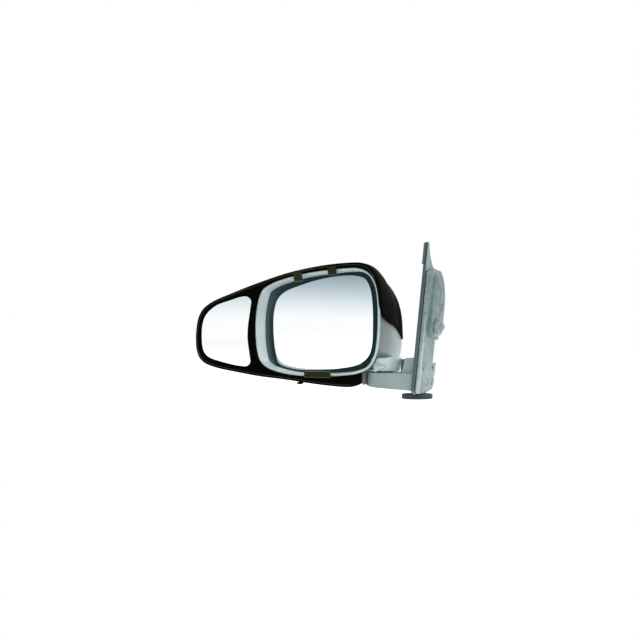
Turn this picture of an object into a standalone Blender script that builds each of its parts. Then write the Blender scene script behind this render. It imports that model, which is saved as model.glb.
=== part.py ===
# Left-hand door mirror with a clip-on towing extension.
#
# Everything is laid out in millimetres about the fold axis (x = 0, y = 0) with
# z = 0 on the plane where the folding head meets its foot. +X points towards
# the door, +Y towards the front of the vehicle and +Z up. The finished objects
# are then moved so that the row origin lies on the mounting face of the sail.

import math

import bpy
import numpy as np

MM = 0.001

# ---------------------------------------------------------------- dimensions
RIM_Y = -42.0            # front edge of the head's rim
BEZEL_BACK_Y = -20.0     # back of the recess round the glass
SHELL_Y = -37.7          # front edge of the head shell
HEAD_BACK_Y = 88.0       # back of the head
BACK_SHAPE_Y = 70.0      # where the head has its rounder back outline
CLOSE_Y = 62.0           # where the head starts to close
HEAD_WALL = 2.0
STAR = (-115.0, 88.0)    # centre from which every outline of the head is seen

RIM_EDGE = 3.0           # flat front edge of the rim
FUNNEL_LEFT, FUNNEL_RIGHT, FUNNEL_TOP, FUNNEL_BOTTOM = 12.0, 11.0, 8.0, 5.6

GLASS_Y = -17.0          # front of the main glass at its edge
GLASS_T = 2.2
GLASS_RADIUS = 1260.0    # convexity of the main glass
PIVOT = (-115.0, 3.0, 84.0)   # centre of the main glass gimbal
JACK_ARM = 34.0          # lever from the gimbal centre to each jackscrew
CASE_FRONT_Y, CASE_BACK_Y = 13.0, 36.0

TOW_FRONT_Y, TOW_SEAM_Y = -47.0, -38.0
TOW_GAP = 0.8            # towing frame over the head
TOW_WALL = 2.2
POD_DEPTH = 75.0         # over this depth the extension pod blends into the head
BAND_END_X = -46.7       # where the lower band of the towing frame stops
CLIP_LEG_Y = -39.6       # how deep a clip's inner leg hooks behind the rim

EXT_PIVOT = (-292.0, -33.0, 64.0)
EXT_GLASS_Y = -46.0
EXT_GAP = 2.4

POST_R, POST_BORE_R = 8.0, 5.0
NECK_TOP_Z, NECK_BASE_Z = 24.6, 1.0
NECK_TOP_R, NECK_BASE_R = 30.6, 27.0
FOOT_R, FOOT_TOP_Z = 33.0, -1.5
PAD_X = 63.5             # where the round pad bolts up under the foot

SAIL_X0 = 73.0           # outer face of the sail at z = 0
SAIL_LEAN = math.radians(6.1)
COVER_T = 6.5
FLANGE_H0, FLANGE_H1 = 8.5, 15.5
BOX_H = 24.5
BOSS = (-12.0, 86.5)     # y and distance up the sail of the locating boss

# point of the mounting face, as height off the sail's outer face, y and
# distance up the sail, that becomes the origin of the row
DOOR_H, DOOR_Y, DOOR_V = FLANGE_H1, -26.0, 60.0

# outlines, as (x, z) seen from behind the vehicle
RIM = [(-239, 70), (-237, 104), (-232, 128), (-224, 144), (-207, 155),
       (-180, 165), (-140, 175), (-95, 182), (-52, 186.5), (-28, 185.5),
       (-10, 176), (1, 158), (6.5, 132), (8, 95), (6, 58), (0, 28), (-14, 7),
       (-40, -4), (-75, -9), (-149, -10.5), (-192, -5), (-216, 3), (-229, 14),
       (-235.5, 32)]
BACK = [(-222, 70), (-218, 112), (-200, 140), (-165, 155), (-120, 164),
        (-80, 168), (-50, 164), (-27, 150), (-10, 128), (-0.5, 100), (2.5, 64),
        (3, 38), (-1.5, 20), (-17, 8), (-44, 1), (-100, -2), (-165, -2), (-204, 8),
        (-218, 34)]
GLASS = [(-215, 74), (-213.5, 104), (-206, 126), (-191, 140), (-161, 152),
         (-121, 164), (-81, 171), (-50, 172), (-32, 167), (-22, 152),
         (-16.5, 125), (-15, 85), (-17, 48), (-24, 27), (-42, 12), (-81, 3),
         (-130, -1), (-181, 0), (-203, 7), (-211, 30)]
TOW = [(-357, 48), (-356, 70), (-352, 90), (-343, 106), (-326, 119),
       (-286, 136), (-227, 158), (-167, 177), (-108, 189.5), (-60, 195.5),
       (-28, 196), (-12, 190.5), (0, 177), (7, 158), (11, 132), (12.5, 100),
       (12, 60), (9, 20), (-4, -8), (-27, -24), (-51, -28), (-91, -26.5),
       (-130, -23), (-180, -17.5), (-230, -13), (-269, -7.5), (-309, -1),
       (-329, 4), (-342, 10), (-350, 18), (-355, 30)]
EXT = [(-254, 131.5), (-245.5, 125), (-246.5, 110), (-251, 79), (-252, 55),
       (-248, 25), (-247, 12), (-253, 5), (-270, 5), (-307, 12), (-331, 19.5),
       (-341, 30), (-345, 55), (-342, 84), (-334, 99), (-315, 114),
       (-287, 124), (-266, 130.5)]
# sail outline, as (y, distance up the sail)
SAIL = [(-45, -32), (-45, 237.5), (-39.0, 237.5), (-30, 213), (-16, 196),
        (-8, 188.5), (8, 186), (16, 178), (21, 160), (25, 132), (25, -25),
        (18, -33), (-12, -37.5), (-39, -37.5)]
FLANGE = [(-43.5, -30), (-43.5, 186), (-10, 186.5), (7, 184.4), (14.6, 176.8),
          (19.5, 159.6), (23.5, 131.8), (23.5, -24), (17, -31.5),
          (-12, -35.8), (-38, -35.8)]


# ------------------------------------------------------------------ outlines
def spline(ctrl, n, turn=22.0):
    """n points round a closed smooth curve through ctrl, closer together where
    the curve turns."""
    p = np.array(ctrl, float)
    dense = []
    m = len(p)
    for i in range(m):
        a, b, c, d = p[i - 1], p[i], p[(i + 1) % m], p[(i + 2) % m]
        ta, tb = np.linalg.norm(b - a) ** 0.5, np.linalg.norm(c - b) ** 0.5
        tc = np.linalg.norm(d - c) ** 0.5
        for s in np.arange(24) / 24.0:
            t = ta + s * tb
            t3 = ta + tb + tc
            a1 = (ta - t) / ta * a + t / ta * b
            a2 = (ta + tb - t) / tb * b + (t - ta) / tb * c
            a3 = (t3 - t) / tc * c + (t - ta - tb) / tc * d
            b1 = (ta + tb - t) / (ta + tb) * a1 + t / (ta + tb) * a2
            b2 = (t3 - t) / (tb + tc) * a2 + (t - ta) / (tb + tc) * a3
            dense.append((ta + tb - t) / tb * b1 + (t - ta) / tb * b2)
    dense = np.array(dense)
    if area(dense) < 0:
        dense = dense[::-1]
    if n is None:
        return dense
    edge = np.roll(dense, -1, 0) - dense
    ds = np.linalg.norm(edge, axis=1)
    ang = np.arctan2(edge[:, 1], edge[:, 0])
    bend = np.abs((np.roll(ang, -1) - ang + math.pi) % (2 * math.pi) - math.pi)
    weight = ds + turn * 0.5 * (bend + np.roll(bend, 1))
    run = np.concatenate([[0], np.cumsum(weight)])
    closed = np.vstack([dense, dense[:1]])
    want = np.arange(n) / n * run[-1]
    return np.column_stack([np.interp(want, run, closed[:, k]) for k in (0, 1)])


def area(p):
    p = np.asarray(p, float)
    q = np.roll(p, -1, 0)
    return 0.5 * float(np.sum(p[:, 0] * q[:, 1] - q[:, 0] * p[:, 1]))


def normals(p):
    t = np.roll(p, -1, 0) - np.roll(p, 1, 0)
    t /= np.linalg.norm(t, axis=1)[:, None]
    return np.column_stack([t[:, 1], -t[:, 0]])


def offset(p, d):
    """A counter-clockwise outline moved outwards by d."""
    p = np.asarray(p, float)
    return p + normals(p) * np.broadcast_to(np.asarray(d, float), len(p))[:, None]


def radii(outline, angles):
    """How far a closed outline is from STAR along each angle."""
    q = np.asarray(outline) - np.array(STAR)
    a, b = q, np.roll(q, -1, 0)
    out = []
    for t in angles:
        d = np.array([math.cos(t), math.sin(t)])
        e = b - a
        den = d[0] * e[:, 1] - d[1] * e[:, 0]
        den = np.where(np.abs(den) < 1e-12, 1e-12, den)
        r = (a[:, 0] * e[:, 1] - a[:, 1] * e[:, 0]) / den
        s = (a[:, 0] * d[1] - a[:, 1] * d[0]) / den
        ok = (r > 0) & (s >= -1e-9) & (s <= 1 + 1e-9)
        out.append(float(np.max(r[ok])))
    return np.array(out)


def angles_of(p):
    q = np.asarray(p) - np.array(STAR)
    return np.arctan2(q[:, 1], q[:, 0])


RIM_FINE, BACK_FINE = spline(RIM, None), spline(BACK, None)


def head_radii(angles, y, d):
    """The head's outline at depth y, moved outwards by d, as radii about STAR."""
    t = min(max((y - RIM_Y) / (BACK_SHAPE_Y - RIM_Y), 0.0), 1.0) ** 1.4
    r = (1 - t) * radii(offset(RIM_FINE, d), angles) + t * radii(offset(BACK_FINE, d), angles)
    s = (y - CLOSE_Y) / (HEAD_BACK_Y - CLOSE_Y + d)
    if s > 0:
        r = r * (1 - (0.97 * min(s, 1.0)) ** 2.6) ** 0.5
    return r


def ring_xz(angles, r, y):
    return [(STAR[0] + rr * math.cos(t), y, STAR[1] + rr * math.sin(t))
            for t, rr in zip(angles, r)]


def head_rings(angles, d, y0, steps=(-8.0, 18.0, 42.0)):
    end = HEAD_BACK_Y + d
    ys = [y0] + [y for y in steps if y > y0 + 4] + [CLOSE_Y]
    ys += [CLOSE_Y + (end - CLOSE_Y) * s for s in (0.5, 0.8, 1.0)]
    return [ring_xz(angles, head_radii(angles, y, d), y) for y in ys]


# ------------------------------------------------------------------ solids
def loft(rings, start=True, end=True, loop=False):
    """A closed solid through rings of equal length, capped flat at both ends."""
    n = len(rings[0])
    verts = [tuple(v) for ring in rings for v in ring]
    faces = []
    last = len(rings) if loop else len(rings) - 1
    for k in range(last):
        a, b = k * n, ((k + 1) % len(rings)) * n
        for i in range(n):
            j = (i + 1) % n
            faces.append((a + i, a + j, b + j, b + i))
    if not loop:
        if start:
            faces.append(tuple(reversed(range(n))))
        if end:
            faces.append(tuple(range((len(rings) - 1) * n, len(rings) * n)))
    return verts, faces


def fan_ends(rings, first, last):
    """A closed solid through rings whose two ends run to a single point."""
    verts, faces = loft(rings, False, False)
    n, m = len(rings[0]), len(verts)
    verts += [tuple(first), tuple(last)]
    for i in range(n):
        j = (i + 1) % n
        faces.append((m, j, i))
        faces.append((m + 1, m - n + i, m - n + j))
    return verts, faces


def prism_y(outline, y0, y1):
    """An (x, z) outline drawn out along y."""
    return loft([[(x, y, z) for x, z in outline] for y in (y0, y1)])


def prism_z(outline, z0, z1):
    return loft([[(x, y, z) for x, y in outline] for z in (z0, z1)])


def prism_x(outline, x0, x1):
    return loft([[(x, y, z) for y, z in outline] for x in (x0, x1)])


def box(x0, x1, y0, y1, z0, z1):
    return prism_z([(x0, y0), (x1, y0), (x1, y1), (x0, y1)], z0, z1)


def rounded(x0, x1, y0, y1, r, n=4):
    """A rectangle with rounded corners, counter-clockwise."""
    out = []
    for cx, cy, a in ((x1 - r, y0 + r, -90), (x1 - r, y1 - r, 0),
                      (x0 + r, y1 - r, 90), (x0 + r, y0 + r, 180)):
        for k in range(n + 1):
            t = math.radians(a + 90.0 * k / n)
            out.append((cx + r * math.cos(t), cy + r * math.sin(t)))
    return out


def circle(cx, cy, r, n, a0=0.0):
    return [(cx + r * math.cos(a0 + 2 * math.pi * k / n),
             cy + r * math.sin(a0 + 2 * math.pi * k / n)) for k in range(n)]


def turned(profile, centre, axis, n):
    """A solid of revolution. profile is a closed (radius, height) polygon; a
    point on the axis has radius 0 and the polygon then runs along the axis."""
    cx, cy, cz = centre
    put = {"x": lambda u, v, h: (cx + h, cy + u, cz + v),
           "y": lambda u, v, h: (cx + v, cy + h, cz + u),
           "z": lambda u, v, h: (cx + u, cy + v, cz + h)}[axis]
    if profile[0][0] == 0 and profile[-1][0] == 0:
        rings = [[put(r * math.cos(t), r * math.sin(t), h)
                  for t in (2 * math.pi * k / n for k in range(n))]
                 for r, h in profile[1:-1]]
        return fan_ends(rings, put(0, 0, profile[0][1]), put(0, 0, profile[-1][1]))
    rings = [[put(r * math.cos(t), r * math.sin(t), h)
              for r, h in profile] for t in (2 * math.pi * k / n for k in range(n))]
    return loft(rings, loop=True)


def rod(centre, axis, r, h0, h1, n=16, chamfer=0.0):
    if chamfer:
        prof = [(0, h0), (r - chamfer, h0), (r, h0 + chamfer), (r, h1 - chamfer),
                (r - chamfer, h1), (0, h1)]
    else:
        prof = [(0, h0), (r, h0), (r, h1), (0, h1)]
    return turned(prof, centre, axis, n)


def tube(centre, axis, r0, r1, h0, h1, n=20):
    return turned([(r0, h0), (r1, h0), (r1, h1), (r0, h1)], centre, axis, n)


def screw(centre, axis, head_r, head_h, shank_r, length, sign=1, n=12):
    """A pan-head screw: its head starts at the centre and points along -sign."""
    s = sign
    prof = [(0, -s * head_h), (head_r * 0.7, -s * head_h), (head_r, -s * head_h * 0.45),
            (head_r, 0), (shank_r, 0), (shank_r, s * (length - shank_r * 0.6)),
            (shank_r * 0.4, s * length), (0, s * length)]
    return turned(prof, centre, axis, n)


def lean(h, y, v):
    """From the sail's own frame: height off its outer face, y, up the sail."""
    c, s = math.cos(SAIL_LEAN), math.sin(SAIL_LEAN)
    return (SAIL_X0 + h * c + v * s, y, v * c - h * s)


def leaned(solid):
    verts, faces = solid
    return [lean(*v) for v in verts], faces


def tilt_y(solid, centre, degrees):
    """A solid turned about the y direction through centre, x towards z."""
    t = math.radians(degrees)
    c, s = math.cos(t), math.sin(t)
    out = []
    for x, y, z in solid[0]:
        dx, dz = x - centre[0], z - centre[2]
        out.append((centre[0] + dx * c - dz * s, y, centre[2] + dx * s + dz * c))
    return out, solid[1]


# ------------------------------------------------------------------ objects
for old in list(bpy.data.objects):
    bpy.data.objects.remove(old, do_unlink=True)

ROW = np.array(lean(DOOR_H, DOOR_Y, DOOR_V))

LOOKS = {
    "primer": ((0.40, 0.47, 0.47), 0.0, 0.45),
    "primer_dark": ((0.17, 0.21, 0.22), 0.0, 0.5),
    "black": ((0.012, 0.012, 0.013), 0.0, 0.35),
    "black_matt": ((0.02, 0.02, 0.021), 0.0, 0.6),
    "glass": ((0.75, 0.78, 0.82), 1.0, 0.04),
    "steel": ((0.55, 0.56, 0.58), 1.0, 0.3),
    "zinc": ((0.62, 0.60, 0.52), 1.0, 0.35),
    "aluminium": ((0.62, 0.63, 0.65), 1.0, 0.45),
    "rubber": ((0.02, 0.02, 0.02), 0.0, 0.85),
    "slate": ((0.03, 0.045, 0.05), 0.0, 0.7),
    "nylon": ((0.75, 0.74, 0.70), 0.0, 0.5),
    "foam": ((0.10, 0.10, 0.10), 0.0, 0.95),
    "label": ((0.85, 0.85, 0.84), 0.0, 0.5),
    "olive": ((0.022, 0.024, 0.012), 0.0, 0.4),
}


def make(name, solid, look, cuts=(), joins=(), only=(), origin=None):
    """One node: a solid, then what is joined to it, kept of it and cut from it."""
    obj = raw(name, solid)
    tools = []
    for kind, group in (("UNION", joins), ("INTERSECT", only), ("DIFFERENCE", cuts)):
        for k, other in enumerate(group):
            tool = raw(f"{name}_{kind.lower()}_{k}", other)
            tool.hide_render = True
            tool.display_type = "WIRE"
            tools.append(tool)
            mod = obj.modifiers.new(tool.name, "BOOLEAN")
            mod.operation = kind
            mod.solver = "EXACT"
            mod.object = tool
    if tools:
        bpy.context.view_layer.update()
        done = bpy.data.meshes.new_from_object(
            obj.evaluated_get(bpy.context.evaluated_depsgraph_get()))
        obj.modifiers.clear()
        obj.data = done
        for tool in tools:
            bpy.data.objects.remove(tool, do_unlink=True)
    obj.data.materials.clear()
    mat = bpy.data.materials.new(name)
    mat.use_nodes = True
    colour, metal, rough = LOOKS[look]
    shader = mat.node_tree.nodes["Principled BSDF"]
    shader.inputs["Base Color"].default_value = (*colour, 1.0)
    shader.inputs["Metallic"].default_value = metal
    shader.inputs["Roughness"].default_value = rough
    mat.diffuse_color = (*colour, 1.0)
    obj.data.materials.append(mat)
    for face in obj.data.polygons:
        face.material_index = 0
    obj.data.set_sharp_from_angle(angle=math.radians(32))
    if origin is not None:
        at = (np.array(origin, float) - ROW) * MM
        for vert in obj.data.vertices:
            vert.co = (vert.co.x - at[0], vert.co.y - at[1], vert.co.z - at[2])
        obj.location = at
    return obj


def raw(name, solid):
    verts = [tuple((np.array(v, float) - ROW) * MM) for v in solid[0]]
    mesh = bpy.data.meshes.new(name)
    mesh.from_pydata(verts, [], [tuple(f) for f in solid[1]])
    volume = 0.0
    for f in mesh.polygons:
        vs = [np.array(verts[i]) for i in f.vertices]
        for i in range(1, len(vs) - 1):
            volume += float(np.dot(vs[0], np.cross(vs[i], vs[i + 1])))
    if volume < 0:
        mesh.flip_normals()
    mesh.polygons.foreach_set("use_smooth", [True] * len(mesh.polygons))
    mesh.update()
    obj = bpy.data.objects.new(name, mesh)
    bpy.context.scene.collection.objects.link(obj)
    return obj


FOLD = (0.0, 0.0, 0.0)

# ================================================================= the sail
def sail_plate(outline, h0, h1):
    ring = outline if area(outline) > 0 else outline[::-1]
    return leaned(loft([[(h, y, v) for y, v in ring] for h in (h0, h1)]))


def inset(outline, d):
    ring = outline if area(outline) > 0 else outline[::-1]
    return offset_straight(ring, -d)


def offset_straight(ring, d):
    """A straight-sided counter-clockwise outline moved outwards by d."""
    out = []
    m = len(ring)
    for i in range(m):
        a, b, c = (np.array(ring[k % m], float) for k in (i - 1, i, i + 1))
        e0, e1 = (b - a) / np.linalg.norm(b - a), (c - b) / np.linalg.norm(c - b)
        n0, n1 = np.array([e0[1], -e0[0]]), np.array([e1[1], -e1[0]])
        out.append(tuple(b + (n0 + n1) * d / (1 + float(n0 @ n1))))
    return out


def sail_box(y0, y1, v0, v1, h0, h1, r=0.0):
    if r:
        ring = rounded(y0, y1, v0, v1, r)
    else:
        ring = [(y0, v0), (y1, v0), (y1, v1), (y0, v1)]
    return leaned(loft([[(h, y, v) for y, v in ring] for h in (h0, h1)]))


def sail_rod(y, v, r, h0, h1, n=16, chamfer=0.0):
    verts, faces = rod((0, 0, 0), "x", r, h0, h1, n, chamfer)
    return [lean(h, y + a, v + b) for h, a, b in verts], faces


def sail_turned(y, v, profile, n=16):
    verts, faces = turned(profile, (0, 0, 0), "x", n)
    return [lean(h, y + a, v + b) for h, a, b in verts], faces


ARM_WINDOW = (-17.0, 17.0, -27.5, -4.0)       # y0, y1, v0, v1 through the cover
INSERTS = [(10.0, 10.0), (-30.0, 10.0), (-30.0, 150.0)]
BRACKET_SCREWS = [(-9.0, -16.0), (9.0, -16.0)]
sail_ring = SAIL if area(SAIL) > 0 else SAIL[::-1]
cover_rings = []
for h, d in ((0.0, -1.6), (1.6, 0.0), (COVER_T, 0.0)):
    cover_rings.append([(h, y, v) for y, v in offset_straight(sail_ring, d)])
make("sail_cover", leaned(loft(cover_rings)), "primer",
     cuts=[sail_box(*ARM_WINDOW, -5, 20, 4.0)], origin=lean(0, -10, 90))

gasket_out = inset(FLANGE, 0.6)
make("sail_gasket", sail_plate(gasket_out, 6.8, 8.2), "rubber",
     cuts=[sail_plate(inset(FLANGE, 5.0), 0, 20)])

DOME_BASE = [(-23.0, 66.0), (20.8, 66.0), (20.8, 146.0), (13.5, 170.5), (4.5, 183.2), (-20.0, 184.0)]
DOME_TOP = [(-14.5, 73.0), (15.5, 73.0), (15.5, 120.0), (12.0, 134.0), (8.0, 140.0), (-9.0, 143.0)]
DOME = [(0.0, 0.0), (0.2, 0.4), (0.42, 0.72), (0.68, 0.92), (1.0, 1.0)]    # (inwards, height) shares


def corner_rounded(ring, r, n=2):
    """A straight-sided outline with its corners rounded by up to r."""
    out = []
    m = len(ring)
    for i in range(m):
        a, b, c = (np.array(ring[k % m], float) for k in (i - 1, i, i + 1))
        la, lc = np.linalg.norm(a - b), np.linalg.norm(c - b)
        cut = min(r, 0.45 * la, 0.45 * lc)
        start, end = b + (a - b) / la * cut, b + (c - b) / lc * cut
        for k in range(n + 1):
            t = k / n
            out.append(tuple((1 - t) ** 2 * start + 2 * t * (1 - t) * b + t * t * end))
    return out


def dome(wall=0.0):
    """The raised wiring box: a smooth dome, or the hollow under it."""
    low = np.array(corner_rounded(DOME_BASE, 6.0))
    top = np.array(corner_rounded(DOME_TOP, 6.0))
    rings = [(FLANGE_H1 - 3.0 if not wall else 0.0, offset(low, -wall))]
    for inwards, height in DOME:
        ring = low + (top - low) * inwards
        h = FLANGE_H1 - wall + (BOX_H - FLANGE_H1) * height
        rings.append((h, offset(ring, -wall)))
    return leaned(loft([[(h, y, v) for y, v in ring] for h, ring in rings]))


raised = dome()
hollow = dome(2.6)


def edge_share(ring):
    """How far each point of the flange faces rearwards, 0 to 1."""
    return np.maximum(0.0, -normals(np.array(ring))[:, 0]) ** 2


flange_ring = corner_rounded(FLANGE if area(FLANGE) > 0 else FLANGE[::-1], 4.0)
rear = edge_share(flange_ring)
flange = leaned(loft([[(h, y, v) for y, v in offset(np.array(flange_ring), -d * rear)]
                      for h, d in ((FLANGE_H0, 0.0), (FLANGE_H0 + 1.6, 0.0),
                                   (FLANGE_H1 - 2.2, 2.2), (FLANGE_H1, 6.0))]))
make("sail_bracket", flange, "primer_dark",
     joins=[raised],
     cuts=[hollow] + [sail_rod(y, v, 6.0, 0, 20, 12) for y, v in INSERTS]
     + [sail_rod(y, v, 3.3, 0, 20, 12) for y, v in BRACKET_SCREWS]
     + [sail_rod(y, v, 6.2, 12.0, 20, 12) for y, v in BRACKET_SCREWS]
     + [sail_box(7.7, 30.0, 17.7, 60.3, FLANGE_H1 - 0.5, 30),
        sail_box(-3.2, 8.2, 106.8, 129.2, BOX_H - 9.3, BOX_H + 5, 2),
        sail_rod(*BOSS, 5.0, 10, BOX_H + 5, 12)])

for k, (y, v) in enumerate(INSERTS):
    make(f"thread_insert_{k + 1}",
         sail_turned(y, v, [(2.6, FLANGE_H0 + 0.2), (5.7, FLANGE_H0 + 0.2),
                            (5.7, FLANGE_H1 - 0.2), (3.2, FLANGE_H1 - 0.2),
                            (2.6, FLANGE_H1 - 0.8)], 12), "zinc")

make("connector_shroud", sail_box(-2.9, 7.9, 107.1, 128.9, BOX_H - 9.0, BOX_H - 0.6, 1.8),
     "primer_dark", cuts=[sail_box(-1.3, 6.3, 108.7, 127.3, BOX_H - 7.0, BOX_H + 9, 1.2)])

boss = [(0, BOX_H - 10.0), (4.6, BOX_H - 10.0), (4.6, BOX_H + 0.3), (12.4, BOX_H + 0.3),
        (12.4, BOX_H + 7.4), (11.0, BOX_H + 8.8), (6.4, BOX_H + 8.8), (6.4, BOX_H + 12.2),
        (5.0, BOX_H + 13.6), (0, BOX_H + 13.6)]
make("locating_boss", sail_turned(*BOSS, boss, 20), "primer_dark")

make("label_blank", sail_box(8, 22.5, 18, 60, FLANGE_H1 - 0.4, FLANGE_H1 - 0.08, 1.5), "label")

seal_ring = [(-0.6, 197), (-0.6, 236), (3.6, 236), (3.6, 197)]
make("glass_run_seal", leaned(loft([[(h, y, v) for h, v in
                                     [(a, b) for a, b in seal_ring]] for y in (-49.0, -45.3)])),
     "rubber")

# ================================================================= the foot
def foot_outline(r, half, x_end):
    """The foot seen from above: round at the fold axis, drawn in to the sail."""
    out = []
    start = math.degrees(math.acos(0.12))
    for k in range(19):
        t = math.radians(start + (360 - 2 * start) * k / 18)
        out.append((r * math.cos(t), r * math.sin(t)))
    out.append((x_end, -half))
    out.append((x_end, half))
    return out


def foot_solid(r, half, x_end, z_top, z_left, z_right):
    def low(x, d):
        return z_left + (z_right - z_left) * (x + 33.0) / 106.0 + d
    ring = foot_outline(r, half, x_end)
    thin = foot_outline(r - 3.0, half - 3.0, x_end)
    rings = [[(x, y, low(x, 0.0)) for x, y in thin],
             [(x, y, low(x, 3.0)) for x, y in ring],
             [(x, y, z_top - 1.2) for x, y in ring],
             [(x, y, z_top) for x, y in foot_outline(r - 1.2, half - 1.2, x_end)]]
    return loft(rings)


gusset_side = [(36.5, -6), (36.5, -1.9), (41.0, -0.4), (44.0, 3.4), (46.0, 9.0), (47.5, 18.0),
               (49.0, 23.0), (51.0, 24.4), (96, 27.5), (96, -6)]
gusset = loft([[(x, y, z) for x, z in gusset_side] for y in (-20.0, 20.0)])
web = box(34.4, 52.0, -8.4, 14.0, -6, 22.5)
gusset_hollow = box(51.5, 100, -17.5, 17.5, -8, 18.5)
SAIL_FRONT_CUT = leaned(loft([[(h, y, v) for y, v in ((-90, -90), (90, -90), (90, 90), (-90, 90))]
                              for h in (-0.3, 90)]))
make("foot_cover", foot_solid(FOOT_R, 27.0, 90, FOOT_TOP_Z, -27.0, -33.5), "primer",
     joins=[gusset, web],
     cuts=[foot_solid(FOOT_R - 2.4, 24.6, 100, FOOT_TOP_Z - 2.4, -24.6, -31.1),
           gusset_hollow, rod(FOLD, "z", 18.0, -8, 3, 24), SAIL_FRONT_CUT,
           rod((PAD_X, 0, 0), "z", 4.3, -50, -20, 12)], origin=(20, 0, -15))

BRACKET_CUT = leaned(loft([[(h, y, v) for y, v in ((-90, -90), (90, -90), (90, 90), (-90, 90))]
                           for h in (FLANGE_H0 - 0.3, 90)]))
make("arm_casting", rod(FOLD, "z", 22.0, -9.0, -4.3, 24), "aluminium",
     joins=[turned([(17.5, -23.6), (22.0, -23.6), (22.0, -6.0), (17.5, -6.0)], FOLD, "z", 24),
            box(18.5, 100, -15.0, 15.0, -22.5, -5.4)],
     cuts=[rod(FOLD, "z", 10.2, -20, 5, 20), BRACKET_CUT,
           sail_rod(-9.0, -16.0, 2.9, -30, 20, 10), sail_rod(9.0, -16.0, 2.9, -30, 20, 10),
           rod((PAD_X, 0, 0), "z", 2.9, -50, -10, 12)])

for k, (y, v) in enumerate(BRACKET_SCREWS):
    prof = [(0, -16.0), (1.6, -16.0), (2.7, -14.6), (2.7, 12.3), (5.8, 12.3), (5.8, 14.6),
            (4.2, 15.3), (0, 15.3)]
    make(f"bracket_screw_{k + 1}", sail_turned(y, v, prof, 12), "zinc")

make("base_pad", turned([(0, -47.8), (26.5, -47.8), (28.0, -46.3), (28.0, -40.5),
                         (26.5, -39.0), (4.8, -39.0), (4.8, -33.4), (3.2, -33.4),
                         (3.2, -43.0), (0, -43.0)], (PAD_X, 0, 0), "z", 32), "slate",
     origin=(PAD_X, 0, -42))
make("pad_bolt", turned([(0, -42.7), (2.7, -42.7), (2.7, -11.4), (2.0, -10.7), (0, -10.7)],
                        (PAD_X, 0, 0), "z", 12), "zinc")

# fold bearing
make("pivot_bush", tube(FOLD, "z", 8.2, 10.0, -9.6, -3.9, 20), "nylon")
make("detent_ring_lower", turned([(10.4, -4.0), (17.2, -4.0), (17.2, -1.4), (15.6, -0.6),
                                  (12.0, -0.6), (10.4, -1.4)], FOLD, "z", 24), "steel")


def coil(centre, r, wire, z0, z1, turns, n=12, seg=6):
    """A helical spring with its ends closed flat."""
    steps = int(turns * n)
    rings = []
    for k in range(steps + 1):
        t = 2 * math.pi * k / n
        z = z0 + wire + (z1 - z0 - 2 * wire) * k / steps
        pitch = (z1 - z0) / turns / (2 * math.pi * r)
        out = np.array([math.cos(t), math.sin(t), 0.0])
        along = np.array([-math.sin(t), math.cos(t), pitch])
        along /= np.linalg.norm(along)
        side = np.cross(along, out)
        mid = np.array(centre) + out * r + np.array([0, 0, z])
        rings.append([tuple(mid + wire * (math.cos(a) * out + math.sin(a) * side))
                      for a in (2 * math.pi * i / seg for i in range(seg))])
    return loft(rings)


make("fold_spring", coil(FOLD, 13.6, 1.4, -20.7, -9.4, 3.0, 10, 5), "steel")
make("spring_retainer", turned([(8.2, -23.6), (15.6, -23.6), (16.6, -22.8), (16.6, -21.3),
                                (8.2, -21.3)], FOLD, "z", 20), "steel", origin=FOLD)
make("pivot_post", turned([(5.0, -25.6), (9.4, -25.6), (9.4, -23.9), (8.0, -23.9),
                           (8.0, 17.3), (11.6, 17.3), (11.6, 20.4), (5.0, 20.4)],
                          FOLD, "z", 20), "steel", origin=FOLD)
make("detent_ring_upper", turned([(8.4, 2.6), (8.4, 0.4), (12.0, -0.2), (15.6, -0.2),
                                  (17.0, 0.4), (17.0, 2.6)], FOLD, "z", 24), "steel",
     origin=FOLD)

# ================================================================= the head
rim_n = spline(RIM, 42)
rim_normals = normals(rim_n)
rim_angles = angles_of(rim_n)


def funnel(nx, nz):
    return (FUNNEL_LEFT * max(0.0, -nx) ** 2 + FUNNEL_RIGHT * max(0.0, nx) ** 2
            + FUNNEL_TOP * max(0.0, nz) ** 2 + FUNNEL_BOTTOM * max(0.0, -nz) ** 2)


depths = np.array([funnel(nx, nz) for nx, nz in rim_normals])
bezel_profile = [(lambda d: 0.0, RIM_Y + 0.9), (lambda d: -0.9, RIM_Y),
                 (lambda d: -RIM_EDGE, RIM_Y), (lambda d: -RIM_EDGE - 0.8, RIM_Y + 0.9),
                 (lambda d: -d, -24.0), (lambda d: -d, BEZEL_BACK_Y),
                 (lambda d: -d + 1.8, BEZEL_BACK_Y), (lambda d: -d + 1.8, -24.5),
                 (lambda d: -3.2, -36.2), (lambda d: -3.2, TOW_SEAM_Y),
                 (lambda d: 0.0, TOW_SEAM_Y)]
bezel_rings = []
for shape, y in bezel_profile:
    moved = offset(rim_n, [shape(max(d, 5.0)) for d in depths])
    bezel_rings.append([(x, y, z) for x, z in moved])
NECK_NOTCH = rod(FOLD, "z", 31.6, -60, 25.2, 28)
make("head_bezel", loft(bezel_rings, loop=True), "primer", cuts=[NECK_NOTCH],
     origin=(-115, RIM_Y, 88))

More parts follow.
